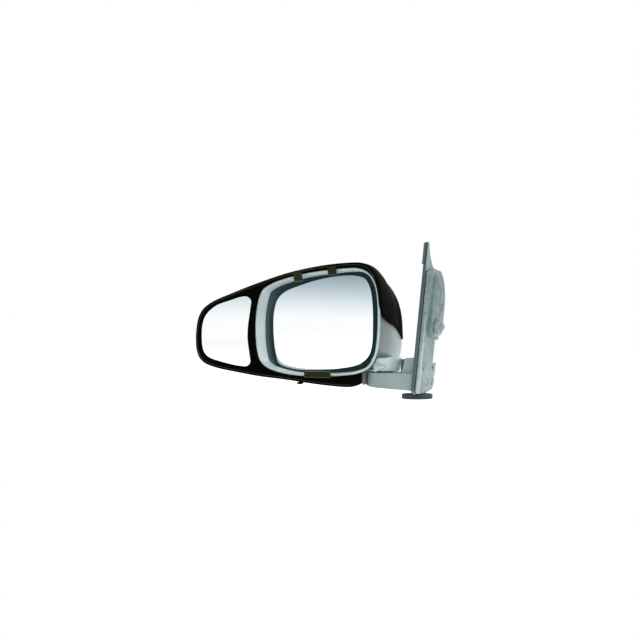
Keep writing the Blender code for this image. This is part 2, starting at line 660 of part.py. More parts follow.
outer = head_rings(rim_angles, 0.0, SHELL_Y)
inner = head_rings(rim_angles, -HEAD_WALL, SHELL_Y)
back_o = (STAR[0], HEAD_BACK_Y, STAR[1])
back_i = (STAR[0], HEAD_BACK_Y - HEAD_WALL, STAR[1])
skirt = []
for z in (-25.0, 3.0):
    arc = [math.radians(180 + 22 * k / 5) for k in range(-5, 6)]
    skirt.append([(41.0 * math.cos(t), 41.0 * math.sin(t), z) for t in arc]
                 + [(35.5 * math.cos(t), 35.5 * math.sin(t), z) for t in reversed(arc)])
SHELL_SCREWS = [(-185.0, 40.0), (-60.0, 120.0)]
make("head_shell", fan_ends(inner[::-1] + outer, back_i, back_o), "primer",
     joins=[loft(skirt)], cuts=[NECK_NOTCH], origin=(-115, 20, 88))

neck_outer = [(11.0, NECK_BASE_Z), (NECK_BASE_R - 0.8, NECK_BASE_Z), (NECK_BASE_R, NECK_BASE_Z + 0.8),
              (28.8, 12.0), (NECK_TOP_R, NECK_TOP_Z - 0.8), (NECK_TOP_R - 0.8, NECK_TOP_Z),
              (4.0, NECK_TOP_Z), (4.0, NECK_TOP_Z - 2.2), (27.8, NECK_TOP_Z - 2.2),
              (26.0, 12.0), (22.8, NECK_BASE_Z + 2.2), (19.0, NECK_BASE_Z + 2.2), (19.0, NECK_BASE_Z)]
neck_profile = [(19.0, NECK_BASE_Z)] + neck_outer[1:6] + neck_outer[6:12]
LIP = [(254.0, 17.0), (262.0, 14.6), (272.0, 12.6), (284.0, 11.0), (296.5, 9.6), (286.0, 6.2),
       (276.0, 3.4), (268.0, 1.4), (262.0, 0.2), (254.0, 0.2)]    # (angle, z) round the neck
lip_rings = []
for base, swell in ((22.6, 0.0), (31.2, 1.8)):
    reach = [base + swell * min(max((a - 262.0) / 10.0, 0.0), 1.0) for a, _ in LIP]
    lip_rings.append([(r * math.cos(math.radians(a)), r * math.sin(math.radians(a)), z)
                      for r, (a, z) in zip(reach, LIP)])
lip = loft(lip_rings)
half_disc = [(30.9 * math.cos(t), 30.9 * math.sin(t))
             for t in (math.radians(100 + 16 * k) for k in range(11))]
make("head_neck", turned(neck_profile, FOLD, "z", 28), "primer",
     joins=[prism_z(half_disc, NECK_BASE_Z, NECK_BASE_Z + 2.4), lip],
     cuts=[box(-60, -14.0, -45, 45, NECK_BASE_Z + 2.4, 40),
           rod(FOLD, "z", 19.0, -5, 6, 30)], origin=FOLD)

frame_arm = [(-4, -8), (-15, -3), (-36, 13), (-84, 41.5), (-84, 46.5), (-52, 46.5), (-28, 21), (-4, 14)]
plate = prism_y(rounded(-160, -58, 6, 136, 10, 3), 41.5, 46.5)
CASE = (-141.0, -69.0, 58.0, 130.0)
CASE_SCREWS = [(-134.0, 65.0), (-76.0, 123.0), (-134.0, 123.0)]
frame_window = prism_y(rounded(-146, -72, 14, 46, 8, 3), 30, 60)
make("head_frame", rod(FOLD, "z", 17.4, 2.9, 17.0, 24), "aluminium",
     joins=[prism_z(frame_arm, 9.8, 19.2), plate],
     cuts=[rod(FOLD, "z", 8.3, -5, 30, 20), rod(FOLD, "z", 12.4, 17.0, 30, 20), frame_window]
     + [rod((x, 0, z), "y", 2.2, 30, 60, 10) for x, z in CASE_SCREWS], origin=FOLD)

# ============================================== main glass and its actuator
px, py, pz = PIVOT
case_out = rounded(*CASE, 9, 3)
case_in = rounded(CASE[0] + 2.2, CASE[1] - 2.2, CASE[2] + 2.2, CASE[3] - 2.2, 7, 3)
ears = []
for side in (-1, 1):
    z0, z1 = sorted((pz + side * 20.6, pz + side * 24.8))
    ears.append(prism_y(rounded(px - 5.5, px + 5.5, z0, z1, 1.2, 2), -2.5, CASE_FRONT_Y + 1))
pillars = [rod((x, 0, z), "y", 4.6, CASE_FRONT_Y + 1, CASE_BACK_Y, 12) for x, z in CASE_SCREWS]

def walled_case():
    """The case as one open box: outside, rim, inside."""
    rings = [[(x, y, z) for x, z in ring] for ring, y in
             ((case_out, CASE_FRONT_Y), (case_out, CASE_BACK_Y),
              (case_in, CASE_BACK_Y), (case_in, CASE_FRONT_Y + 2.4))]
    return loft(rings)


make("actuator_case", walled_case(), "black_matt", joins=ears + pillars,
     cuts=[rod((px + JACK_ARM, 0, pz), "y", 3.9, 0, 20, 14),
           rod((px, 0, pz + JACK_ARM), "y", 3.9, 0, 20, 14),
           rod((px, py, 0), "z", 2.6, pz - 30, pz + 30, 12)]
     + [rod((x, 0, z), "y", 1.5, 20, 60, 10) for x, z in CASE_SCREWS], origin=PIVOT)
make("actuator_cover", prism_y(case_out, CASE_BACK_Y + 0.3, CASE_BACK_Y + 2.8), "black_matt",
     cuts=[rod((x, 0, z), "y", 2.2, 20, 60, 10) for x, z in CASE_SCREWS], origin=PIVOT)
for k, (x, z) in enumerate(CASE_SCREWS):
    prof = [(0, 49.2), (2.6, 49.2), (3.8, 48.3), (3.8, 46.8), (1.9, 46.8), (1.9, 37.0),
            (1.3, 36.0), (1.3, 22.5), (0, 22.5)]
    make(f"actuator_screw_{k + 1}", turned(prof, (x, 0, z), "y", 10), "zinc")

make("motor_pan", turned([(0, -19), (1.0, -19), (1.0, -11), (7.2, -11), (7.2, 9), (2.6, 9),
                          (2.6, 10.5), (0, 10.5)], (px + 8.0, 27.5, pz - 16.0), "x", 14), "steel",
     origin=(px + 8.0, 27.5, pz - 16.0))
make("motor_tilt", turned([(0, -19), (1.0, -19), (1.0, -11), (7.2, -11), (7.2, 9), (2.6, 9),
                           (2.6, 10.5), (0, 10.5)], (px - 12.0, 27.5, pz + 17.0), "z", 14), "steel",
     origin=(px - 12.0, 27.5, pz + 17.0))

for tag, cx, cz in (("pan", px + JACK_ARM, pz), ("tilt", px, pz + JACK_ARM)):
    ball = [(3.5 * math.cos(t), py + 3.5 * math.sin(t))
            for t in (math.radians(a) for a in (-90, -45, 0, 50))]
    ball[0] = (0, py - 3.5)
    thread = []
    for k in range(3):
        y0 = py + 12.0 + k * 4.6
        thread += [(2.2, y0), (2.9, y0 + 1.2), (2.9, y0 + 2.0), (2.2, y0 + 3.2)]
    jack = ball + [(2.2, py + 4.0)] + thread + [(2.2, 31.0), (0, 31.0)]
    make(f"jackscrew_{tag}", turned(jack, (cx, 0, cz), "y", 10), "nylon", origin=(cx, py, cz))
    teeth = []
    for k in range(16):
        for r, da in ((7.4, -0.22), (8.8, 0.22)):
            t = 2 * math.pi * (k + da) / 16
            teeth.append((cx + r * math.cos(t), cz + r * math.sin(t)))
    make(f"jack_gear_{tag}", prism_y(teeth, 18.0, 24.0), "nylon",
         cuts=[rod((cx, 0, cz), "y", 3.3, 10, 30, 14)], origin=(cx, 21.0, cz))

ring_parts = [rod((px, py, pz), "z", 2.2, -24.4, -15.5, 12), rod((px, py, pz), "z", 2.2, 15.5, 24.4, 12),
              rod((px, py, pz), "x", 2.2, -24.4, -15.5, 12), rod((px, py, pz), "x", 2.2, 15.5, 24.4, 12)]
make("gimbal_ring", tube((px, py, pz), "y", 14.5, 18.6, -3.2, 3.2, 28), "nylon",
     joins=ring_parts, origin=PIVOT)


def lens(outline, y_edge, thick, radius, centre, reach, shares=(0.55,)):
    """A slightly domed pane, part of one sphere: it stands at y_edge where it
    is reach away from its centre."""
    ring = np.asarray(outline)
    c = np.array(centre)

    def bulge(q):
        return (reach ** 2 - float(np.sum((q - c) ** 2))) / (2 * radius)

    def at(share, extra):
        out = []
        for q in ring:
            w = c + (q - c) * share
            out.append((w[0], y_edge + extra - bulge(w), w[1]))
        return out

    rings = [at(s, 0.0) for s in shares] + [at(0.992, 0.0), at(1.0, 0.35), at(1.0, thick)]
    rings += [at(s, thick) for s in reversed(shares)]
    mid_b = bulge(c)
    return fan_ends(rings, (c[0], y_edge - mid_b, c[1]),
                    (c[0], y_edge + thick - mid_b, c[1]))


glass_ring = spline(GLASS, 36)
C_GLASS = (-115.0, 84.0)
make("main_glass", lens(glass_ring, GLASS_Y, GLASS_T, GLASS_RADIUS, C_GLASS, 110.0), "glass",
     origin=PIVOT)
make("glass_heater_pad", lens(offset(glass_ring, -9.0)[::2], GLASS_Y + GLASS_T + 0.35, 0.7,
                              GLASS_RADIUS, C_GLASS, 110.0), "foam", origin=PIVOT)

# backing plate: a shallow tray behind the glass with the gimbal ears and the
# two jackscrew cups standing off its back
tray_y = GLASS_Y + GLASS_T + 1.5
tray = lens(offset(glass_ring, -1.0), tray_y, 2.2, GLASS_RADIUS, C_GLASS, 110.0)
lugs = []
for side in (-1, 1):
    x0, x1 = sorted((px + side * 20.6, px + side * 24.8))
    lugs.append(prism_y(rounded(x0, x1, pz - 5.5, pz + 5.5, 1.2, 2), tray_y - 3.6, py + 5.5))
cups = [rod((px + JACK_ARM, 0, pz), "y", 6.2, tray_y - 3.6, py + 3.6, 14),
        rod((px, 0, pz + JACK_ARM), "y", 6.2, tray_y - 3.6, py + 3.6, 14)]
make("glass_holder", tray, "black_matt", joins=lugs + cups,
     cuts=[rod((px, py, pz), "x", 2.6, -30, 30, 12),
           rod((px + JACK_ARM, 0, pz), "y", 4.2, py - 4.2, py + 20, 14),
           rod((px, 0, pz + JACK_ARM), "y", 4.2, py - 4.2, py + 20, 14)], origin=PIVOT)

# ============================================================ towing frame
tow_n = spline(TOW, 56, 26.0)
tow_angles = angles_of(tow_n)
tow_r = radii(spline(TOW, None), tow_angles)
front_r = head_radii(tow_angles, RIM_Y, TOW_GAP + TOW_WALL)
spare = np.maximum(tow_r - front_r, 0.0)


def pod_share(y):
    s = min(max((y - TOW_SEAM_Y) / POD_DEPTH, 0.0), 1.0)
    return (1 - s ** 2.6) ** 0.5


def tow_ring(y):
    r = head_radii(tow_angles, y, TOW_GAP + TOW_WALL) + spare * pod_share(y)
    return ring_xz(tow_angles, r, y)


tow_end = HEAD_BACK_Y + TOW_GAP + TOW_WALL
tow_ys = [TOW_SEAM_Y + 0.3, -16.0, 4.0, 18.0, 28.0, 34.5, 37.0, CLOSE_Y]
tow_ys += [CLOSE_Y + (tow_end - CLOSE_Y) * s for s in (0.5, 0.8, 1.0)]
tow_solid = loft([tow_ring(y) for y in tow_ys])

cav_rings = [ring_xz(rim_angles, head_radii(rim_angles, RIM_Y, TOW_GAP), -60.0)]
cav_rings += head_rings(rim_angles, TOW_GAP, RIM_Y)
head_cavity = loft(cav_rings)

ext_n = spline(EXT, 30)
EXT_MID = (-298.0, 66.0)
pod_rings = []
for y, share, cx in ((-60.0, 1.0, -298.0), (-36.0, 1.0, -298.0), (-10.0, 0.965, -296.0),
                     (8.0, 0.8, -290.0), (18.0, 0.58, -285.3)):
    wide = offset(ext_n, EXT_GAP + 1.0)
    pod_rings.append([(cx + (x - EXT_MID[0]) * share, y, EXT_MID[1] + (z - EXT_MID[1]) * share)
                      for x, z in wide])
pod_cavity = loft(pod_rings)


# the lower inboard corner is cut away so that the frame clears the neck
CUT_CURVE = [(-70.0, 127.0), (-47.0, 124.0), (-42.0, 115.0), (-32.0, 102.0), (-19.0, 95.0),
             (-6.5, 90.0), (10.5, 84.5), (28.6, 79.0), (43.5, 72.0), (56.0, 63.0),
             (70.0, 54.0), (110.0, 46.0)]


def cut_block():
    """Everything below the cut's curved edge, from the band's end inboard."""
    rows = []
    for x, share in ((BAND_END_X, 0.0), (-43.5, 0.32), (-37.0, 0.62), (-27.0, 0.86),
                     (-14.0, 0.97), (0.0, 1.0), (40.0, 1.0)):
        top = [(x, y, -60.0 + (z + 60.0) * (0.25 + 0.75 * share)) for y, z in CUT_CURVE]
        rows.append(top + [(x, y, -62.0) for y, _ in reversed(CUT_CURVE)])
    return loft(rows)


TOW_SCREWS = [(-351.6, 62.0), (-239.0, 146.0), (-262.0, -2.0), (-66.0, -19.5)]
pockets = [rod((x, 0, z), "y", 3.0, -27.0, 120, 12) for x, z in TOW_SCREWS]
holes_back = [rod((x, 0, z), "y", 1.75, -45, -20, 10) for x, z in TOW_SCREWS]
make("tow_back_shell", tow_solid, "black", cuts=[head_cavity, pod_cavity, cut_block()]
     + pockets + holes_back, origin=(-180, 0, 80))

face = [[(x, y, z) for x, z in offset(tow_n, d)] for y, d in
        ((TOW_FRONT_Y, -1.4), (TOW_FRONT_Y + 0.5, -0.45), (TOW_FRONT_Y + 1.6, 0.0),
         (TOW_SEAM_Y, 0.0))]
rim_hole = prism_y(offset(rim_n, TOW_GAP), -60, -20)
ext_hole = loft([[(x, y, z) for x, z in offset(ext_n, d)] for y, d in
                 ((-60, EXT_GAP + 2.0), (TOW_FRONT_Y, EXT_GAP + 0.8),
                  (TOW_FRONT_Y + 1.2, EXT_GAP), (-20, EXT_GAP))])
CLIPS = {  # middle of the front plate, half width, inner and outer reach, slope
    "clip_top_outer": ((-150.5, 168.6), 8.2, 8.4, 8.2, 13.0, 1),
    "clip_top_inner": ((-82.6, 181.8), 8.4, 8.6, 8.0, 7.5, 1),
    "clip_bottom": ((-112.0, -5.6), 26.0, 4.2, 7.0, 0.4, -1),
}


def clip_solid(spec):
    """A U-shaped clip: a front plate with a short leg into the recess and a
    longer one into its slot in the towing frame."""
    (cx, cz), half, reach_in, reach_out, slope, side = spec
    profile = [(-reach_in, CLIP_LEG_Y), (-reach_in, -48.6), (-reach_in + 0.9, -49.5),
               (reach_out - 0.9, -49.5), (reach_out, -48.6), (reach_out, -39.0),
               (reach_out - 1.5, -39.0), (reach_out - 1.5, TOW_FRONT_Y - 0.3),
               (-reach_in + 1.5, TOW_FRONT_Y - 0.3), (-reach_in + 1.5, CLIP_LEG_Y)]
    solid = loft([[(x, y, cz + side * a) for a, y in profile] for x in (cx - half, cx + half)])
    return tilt_y(solid, (cx, 0, cz), slope)


def clip_slot(spec, gap=0.35):
    (cx, cz), half, _, reach_out, slope, side = spec
    z0, z1 = sorted((cz + side * (reach_out - 1.5 - gap), cz + side * (reach_out + gap)))
    return tilt_y(box(cx - half - gap, cx + half + gap, -60, -30, z0, z1), (cx, 0, cz), slope)


slots = [clip_slot(spec) for spec in CLIPS.values()]
LOCK = (-149.5, -42.5)
lock_hole = rod((LOCK[0], LOCK[1], 0), "z", 2.3, -40, -13.5, 12)
make("tow_front_frame", loft(face), "black",
     cuts=[rim_hole, ext_hole, cut_block()] + slots + [lock_hole]
     + [rod((x, 0, z), "y", 1.75, -43.5, -30, 10) for x, z in TOW_SCREWS],
     origin=(-180, -42, 80))
for k, (x, z) in enumerate(TOW_SCREWS):
    prof = [(0, -24.2), (1.9, -24.2), (2.7, -25.0), (2.7, -26.7), (1.5, -26.7), (1.5, -42.2),
            (0.7, -43.0), (0, -43.0)]
    make(f"tow_screw_{k + 1}", turned(prof, (x, 0, z), "y", 10), "zinc")
make("lock_screw", turned([(0, -25.4), (3.8, -25.2), (6.0, -24.0), (6.4, -21.9), (2.0, -21.9),
                           (2.0, -14.2), (0, -14.2)], (LOCK[0], LOCK[1], 0), "z", 16),
     "black_matt")

for name, spec in CLIPS.items():
    make(name, clip_solid(spec), "olive", origin=(spec[0][0], TOW_FRONT_Y, spec[0][1]))

# extension glass on its cross
ex, ey, ez = EXT_PIVOT
make("ext_glass", lens(ext_n, EXT_GLASS_Y, 1.8, 2200.0, EXT_MID, 66.0), "glass", origin=EXT_PIVOT)
ext_tray_y = EXT_GLASS_Y + 1.8 + 0.3
ext_lugs = []
for side in (-1, 1):
    x0, x1 = sorted((ex + side * 8.6, ex + side * 12.2))
    ext_lugs.append(prism_y(rounded(x0, x1, ez - 5.0, ez + 5.0, 1.2, 2), ext_tray_y + 0.5, ey + 5.0))
make("ext_glass_holder", lens(offset(ext_n, -1.0), ext_tray_y, 2.2, 2200.0, EXT_MID, 66.0),
     "black_matt", joins=ext_lugs, cuts=[rod((ex, ey, ez), "x", 2.8, -20, 20, 12)],
     origin=EXT_PIVOT)
make("ext_cross", rod((ex, ey, ez), "x", 2.5, -12.0, 12.0, 12), "steel",
     joins=[rod((ex, ey, ez), "z", 2.5, -12.0, 12.0, 12),
            rod((ex, ey, ez), "y", 4.2, -3.4, 3.4, 12)], origin=EXT_PIVOT)
fork = []
for side in (-1, 1):
    z0, z1 = sorted((ez + side * 8.6, ez + side * 12.2))
    fork.append(prism_y(rounded(ex - 5.0, ex + 5.0, z0, z1, 1.2, 2), ey - 5.0, -20.0))
make("ext_pivot_base", turned([(0, -24.0), (12.4, -24.0), (12.4, -20.5), (9.0, -17.0),
                               (9.0, 10.0), (14.0, 14.5), (14.0, 17.7), (0, 17.7)],
                              (ex, 0, ez), "y", 24), "black_matt", joins=fork,
     cuts=[rod((ex, ey, 0), "z", 2.8, ez - 20, ez + 20, 12)], origin=EXT_PIVOT)
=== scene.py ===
import math

import bpy
import bmesh
import numpy as np
from mathutils import Matrix, Vector


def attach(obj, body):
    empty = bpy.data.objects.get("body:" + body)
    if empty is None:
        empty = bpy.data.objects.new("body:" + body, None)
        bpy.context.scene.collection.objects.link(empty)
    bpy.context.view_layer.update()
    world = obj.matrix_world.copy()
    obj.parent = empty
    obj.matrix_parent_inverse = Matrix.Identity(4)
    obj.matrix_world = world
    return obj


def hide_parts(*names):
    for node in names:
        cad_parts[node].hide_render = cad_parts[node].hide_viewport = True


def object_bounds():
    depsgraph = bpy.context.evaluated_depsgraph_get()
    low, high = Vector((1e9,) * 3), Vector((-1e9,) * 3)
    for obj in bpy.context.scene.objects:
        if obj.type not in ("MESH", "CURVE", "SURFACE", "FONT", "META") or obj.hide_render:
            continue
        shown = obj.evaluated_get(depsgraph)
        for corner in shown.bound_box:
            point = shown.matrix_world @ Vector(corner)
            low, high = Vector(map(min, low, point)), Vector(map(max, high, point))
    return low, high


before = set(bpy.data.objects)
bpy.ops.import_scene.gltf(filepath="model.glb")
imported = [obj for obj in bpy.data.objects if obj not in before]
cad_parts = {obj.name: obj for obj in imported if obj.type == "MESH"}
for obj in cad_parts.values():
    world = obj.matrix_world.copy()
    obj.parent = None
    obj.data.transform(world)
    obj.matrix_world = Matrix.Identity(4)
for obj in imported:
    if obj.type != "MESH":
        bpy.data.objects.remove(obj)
CAD_LOW, CAD_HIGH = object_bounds()

MM = 0.001

# ---------------------------------------------------------------- dimensions
RIM_Y = -42.0            # front edge of the head's rim
BEZEL_BACK_Y = -20.0     # back of the recess round the glass
SHELL_Y = -37.7          # front edge of the head shell
HEAD_BACK_Y = 88.0       # back of the head
BACK_SHAPE_Y = 70.0      # where the head has its rounder back outline
CLOSE_Y = 62.0           # where the head starts to close
HEAD_WALL = 2.0
STAR = (-115.0, 88.0)    # centre from which every outline of the head is seen

RIM_EDGE = 3.0           # flat front edge of the rim
FUNNEL_LEFT, FUNNEL_RIGHT, FUNNEL_TOP, FUNNEL_BOTTOM = 12.0, 11.0, 8.0, 5.6

GLASS_Y = -17.0          # front of the main glass at its edge
GLASS_T = 2.2
GLASS_RADIUS = 1260.0    # convexity of the main glass
PIVOT = (-115.0, 3.0, 84.0)   # centre of the main glass gimbal
JACK_ARM = 34.0          # lever from the gimbal centre to each jackscrew
CASE_FRONT_Y, CASE_BACK_Y = 13.0, 36.0

TOW_FRONT_Y, TOW_SEAM_Y = -47.0, -38.0
TOW_GAP = 0.8            # towing frame over the head
TOW_WALL = 2.2
POD_DEPTH = 75.0         # over this depth the extension pod blends into the head
BAND_END_X = -46.7       # where the lower band of the towing frame stops
CLIP_LEG_Y = -39.6       # how deep a clip's inner leg hooks behind the rim

EXT_PIVOT = (-292.0, -33.0, 64.0)
EXT_GLASS_Y = -46.0
EXT_GAP = 2.4

POST_R, POST_BORE_R = 8.0, 5.0
NECK_TOP_Z, NECK_BASE_Z = 24.6, 1.0
NECK_TOP_R, NECK_BASE_R = 30.6, 27.0
FOOT_R, FOOT_TOP_Z = 33.0, -1.5
PAD_X = 63.5             # where the round pad bolts up under the foot

SAIL_X0 = 73.0           # outer face of the sail at z = 0
SAIL_LEAN = math.radians(6.1)
COVER_T = 6.5
FLANGE_H0, FLANGE_H1 = 8.5, 15.5
BOX_H = 24.5
BOSS = (-12.0, 86.5)     # y and distance up the sail of the locating boss

# point of the mounting face, as height off the sail's outer face, y and
# distance up the sail, that becomes the origin of the row
DOOR_H, DOOR_Y, DOOR_V = FLANGE_H1, -26.0, 60.0

# outlines, as (x, z) seen from behind the vehicle
RIM = [(-239, 70), (-237, 104), (-232, 128), (-224, 144), (-207, 155),
       (-180, 165), (-140, 175), (-95, 182), (-52, 186.5), (-28, 185.5),
       (-10, 176), (1, 158), (6.5, 132), (8, 95), (6, 58), (0, 28), (-14, 7),
       (-40, -4), (-75, -9), (-149, -10.5), (-192, -5), (-216, 3), (-229, 14),
       (-235.5, 32)]
BACK = [(-222, 70), (-218, 112), (-200, 140), (-165, 155), (-120, 164),
        (-80, 168), (-50, 164), (-27, 150), (-10, 128), (-0.5, 100), (2.5, 64),
        (3, 38), (-1.5, 20), (-17, 8), (-44, 1), (-100, -2), (-165, -2), (-204, 8),
        (-218, 34)]
GLASS = [(-215, 74), (-213.5, 104), (-206, 126), (-191, 140), (-161, 152),
         (-121, 164), (-81, 171), (-50, 172), (-32, 167), (-22, 152),
         (-16.5, 125), (-15, 85), (-17, 48), (-24, 27), (-42, 12), (-81, 3),
         (-130, -1), (-181, 0), (-203, 7), (-211, 30)]
TOW = [(-357, 48), (-356, 70), (-352, 90), (-343, 106), (-326, 119),
       (-286, 136), (-227, 158), (-167, 177), (-108, 189.5), (-60, 195.5),
       (-28, 196), (-12, 190.5), (0, 177), (7, 158), (11, 132), (12.5, 100),
       (12, 60), (9, 20), (-4, -8), (-27, -24), (-51, -28), (-91, -26.5),
       (-130, -23), (-180, -17.5), (-230, -13), (-269, -7.5), (-309, -1),
       (-329, 4), (-342, 10), (-350, 18), (-355, 30)]
EXT = [(-254, 131.5), (-245.5, 125), (-246.5, 110), (-251, 79), (-252, 55),
       (-248, 25), (-247, 12), (-253, 5), (-270, 5), (-307, 12), (-331, 19.5),
       (-341, 30), (-345, 55), (-342, 84), (-334, 99), (-315, 114),
       (-287, 124), (-266, 130.5)]
# sail outline, as (y, distance up the sail)
SAIL = [(-45, -32), (-45, 237.5), (-39.0, 237.5), (-30, 213), (-16, 196),
        (-8, 188.5), (8, 186), (16, 178), (21, 160), (25, 132), (25, -25),
        (18, -33), (-12, -37.5), (-39, -37.5)]
FLANGE = [(-43.5, -30), (-43.5, 186), (-10, 186.5), (7, 184.4), (14.6, 176.8),
          (19.5, 159.6), (23.5, 131.8), (23.5, -24), (17, -31.5),
          (-12, -35.8), (-38, -35.8)]


# ------------------------------------------------------------------ outlines
def spline(ctrl, n, turn=22.0):
    """n points round a closed smooth curve through ctrl, closer together where
    the curve turns."""
    p = np.array(ctrl, float)
    dense = []
    m = len(p)
    for i in range(m):
        a, b, c, d = p[i - 1], p[i], p[(i + 1) % m], p[(i + 2) % m]
        ta, tb = np.linalg.norm(b - a) ** 0.5, np.linalg.norm(c - b) ** 0.5
        tc = np.linalg.norm(d - c) ** 0.5
        for s in np.arange(24) / 24.0:
            t = ta + s * tb
            t3 = ta + tb + tc
            a1 = (ta - t) / ta * a + t / ta * b
            a2 = (ta + tb - t) / tb * b + (t - ta) / tb * c
            a3 = (t3 - t) / tc * c + (t - ta - tb) / tc * d
            b1 = (ta + tb - t) / (ta + tb) * a1 + t / (ta + tb) * a2
            b2 = (t3 - t) / (tb + tc) * a2 + (t - ta) / (tb + tc) * a3
            dense.append((ta + tb - t) / tb * b1 + (t - ta) / tb * b2)
    dense = np.array(dense)
    if area(dense) < 0:
        dense = dense[::-1]
    if n is None:
        return dense
    edge = np.roll(dense, -1, 0) - dense
    ds = np.linalg.norm(edge, axis=1)
    ang = np.arctan2(edge[:, 1], edge[:, 0])
    bend = np.abs((np.roll(ang, -1) - ang + math.pi) % (2 * math.pi) - math.pi)
    weight = ds + turn * 0.5 * (bend + np.roll(bend, 1))
    run = np.concatenate([[0], np.cumsum(weight)])
    closed = np.vstack([dense, dense[:1]])
    want = np.arange(n) / n * run[-1]
    return np.column_stack([np.interp(want, run, closed[:, k]) for k in (0, 1)])


def area(p):
    p = np.asarray(p, float)
    q = np.roll(p, -1, 0)
    return 0.5 * float(np.sum(p[:, 0] * q[:, 1] - q[:, 0] * p[:, 1]))


def normals(p):
    t = np.roll(p, -1, 0) - np.roll(p, 1, 0)
    t /= np.linalg.norm(t, axis=1)[:, None]
    return np.column_stack([t[:, 1], -t[:, 0]])


def offset(p, d):
    """A counter-clockwise outline moved outwards by d."""
    p = np.asarray(p, float)
    return p + normals(p) * np.broadcast_to(np.asarray(d, float), len(p))[:, None]


def radii(outline, angles):
    """How far a closed outline is from STAR along each angle."""
    q = np.asarray(outline) - np.array(STAR)
    a, b = q, np.roll(q, -1, 0)
    out = []
    for t in angles:
        d = np.array([math.cos(t), math.sin(t)])
        e = b - a
        den = d[0] * e[:, 1] - d[1] * e[:, 0]
        den = np.where(np.abs(den) < 1e-12, 1e-12, den)
        r = (a[:, 0] * e[:, 1] - a[:, 1] * e[:, 0]) / den
        s = (a[:, 0] * d[1] - a[:, 1] * d[0]) / den
        ok = (r > 0) & (s >= -1e-9) & (s <= 1 + 1e-9)
        out.append(float(np.max(r[ok])))
    return np.array(out)


def angles_of(p):
    q = np.asarray(p) - np.array(STAR)
    return np.arctan2(q[:, 1], q[:, 0])


RIM_FINE, BACK_FINE = spline(RIM, None), spline(BACK, None)


def head_radii(angles, y, d):
    """The head's outline at depth y, moved outwards by d, as radii about STAR."""
    t = min(max((y - RIM_Y) / (BACK_SHAPE_Y - RIM_Y), 0.0), 1.0) ** 1.4
    r = (1 - t) * radii(offset(RIM_FINE, d), angles) + t * radii(offset(BACK_FINE, d), angles)
    s = (y - CLOSE_Y) / (HEAD_BACK_Y - CLOSE_Y + d)
    if s > 0:
        r = r * (1 - (0.97 * min(s, 1.0)) ** 2.6) ** 0.5
    return r


def ring_xz(angles, r, y):
    return [(STAR[0] + rr * math.cos(t), y, STAR[1] + rr * math.sin(t))
            for t, rr in zip(angles, r)]


def head_rings(angles, d, y0, steps=(-8.0, 18.0, 42.0)):
    end = HEAD_BACK_Y + d
    ys = [y0] + [y for y in steps if y > y0 + 4] + [CLOSE_Y]
    ys += [CLOSE_Y + (end - CLOSE_Y) * s for s in (0.5, 0.8, 1.0)]
    return [ring_xz(angles, head_radii(angles, y, d), y) for y in ys]


# ------------------------------------------------------------------ solids
def loft(rings, start=True, end=True, loop=False):
    """A closed solid through rings of equal length, capped flat at both ends."""
    n = len(rings[0])
    verts = [tuple(v) for ring in rings for v in ring]
    faces = []
    last = len(rings) if loop else len(rings) - 1
    for k in range(last):
        a, b = k * n, ((k + 1) % len(rings)) * n
        for i in range(n):
            j = (i + 1) % n
            faces.append((a + i, a + j, b + j, b + i))
    if not loop:
        if start:
            faces.append(tuple(reversed(range(n))))
        if end:
            faces.append(tuple(range((len(rings) - 1) * n, len(rings) * n)))
    return verts, faces


def fan_ends(rings, first, last):
    """A closed solid through rings whose two ends run to a single point."""
    verts, faces = loft(rings, False, False)
    n, m = len(rings[0]), len(verts)
    verts += [tuple(first), tuple(last)]
    for i in range(n):
        j = (i + 1) % n
        faces.append((m, j, i))
        faces.append((m + 1, m - n + i, m - n + j))
    return verts, faces


def prism_y(outline, y0, y1):
    """An (x, z) outline drawn out along y."""
    return loft([[(x, y, z) for x, z in outline] for y in (y0, y1)])


def prism_z(outline, z0, z1):
    return loft([[(x, y, z) for x, y in outline] for z in (z0, z1)])


def box(x0, x1, y0, y1, z0, z1):
    return prism_z([(x0, y0), (x1, y0), (x1, y1), (x0, y1)], z0, z1)


def rounded(x0, x1, y0, y1, r, n=4):
    """A rectangle with rounded corners, counter-clockwise."""
    out = []
    for cx, cy, a in ((x1 - r, y0 + r, -90), (x1 - r, y1 - r, 0),
                      (x0 + r, y1 - r, 90), (x0 + r, y0 + r, 180)):
        for k in range(n + 1):
            t = math.radians(a + 90.0 * k / n)
            out.append((cx + r * math.cos(t), cy + r * math.sin(t)))
    return out


def turned(profile, centre, axis, n):
    """A solid of revolution. profile is a closed (radius, height) polygon; a
    point on the axis has radius 0 and the polygon then runs along the axis."""
    cx, cy, cz = centre
    put = {"x": lambda u, v, h: (cx + h, cy + u, cz + v),
           "y": lambda u, v, h: (cx + v, cy + h, cz + u),
           "z": lambda u, v, h: (cx + u, cy + v, cz + h)}[axis]
    if profile[0][0] == 0 and profile[-1][0] == 0:
        rings = [[put(r * math.cos(t), r * math.sin(t), h)
                  for t in (2 * math.pi * k / n for k in range(n))]
                 for r, h in profile[1:-1]]
        return fan_ends(rings, put(0, 0, profile[0][1]), put(0, 0, profile[-1][1]))
    rings = [[put(r * math.cos(t), r * math.sin(t), h)
              for r, h in profile] for t in (2 * math.pi * k / n for k in range(n))]
    return loft(rings, loop=True)


def rod(centre, axis, r, h0, h1, n=16, chamfer=0.0):
    if chamfer:
        prof = [(0, h0), (r - chamfer, h0), (r, h0 + chamfer), (r, h1 - chamfer),
                (r - chamfer, h1), (0, h1)]
    else:
        prof = [(0, h0), (r, h0), (r, h1), (0, h1)]
    return turned(prof, centre, axis, n)


def tube(centre, axis, r0, r1, h0, h1, n=20):
    return turned([(r0, h0), (r1, h0), (r1, h1), (r0, h1)], centre, axis, n)


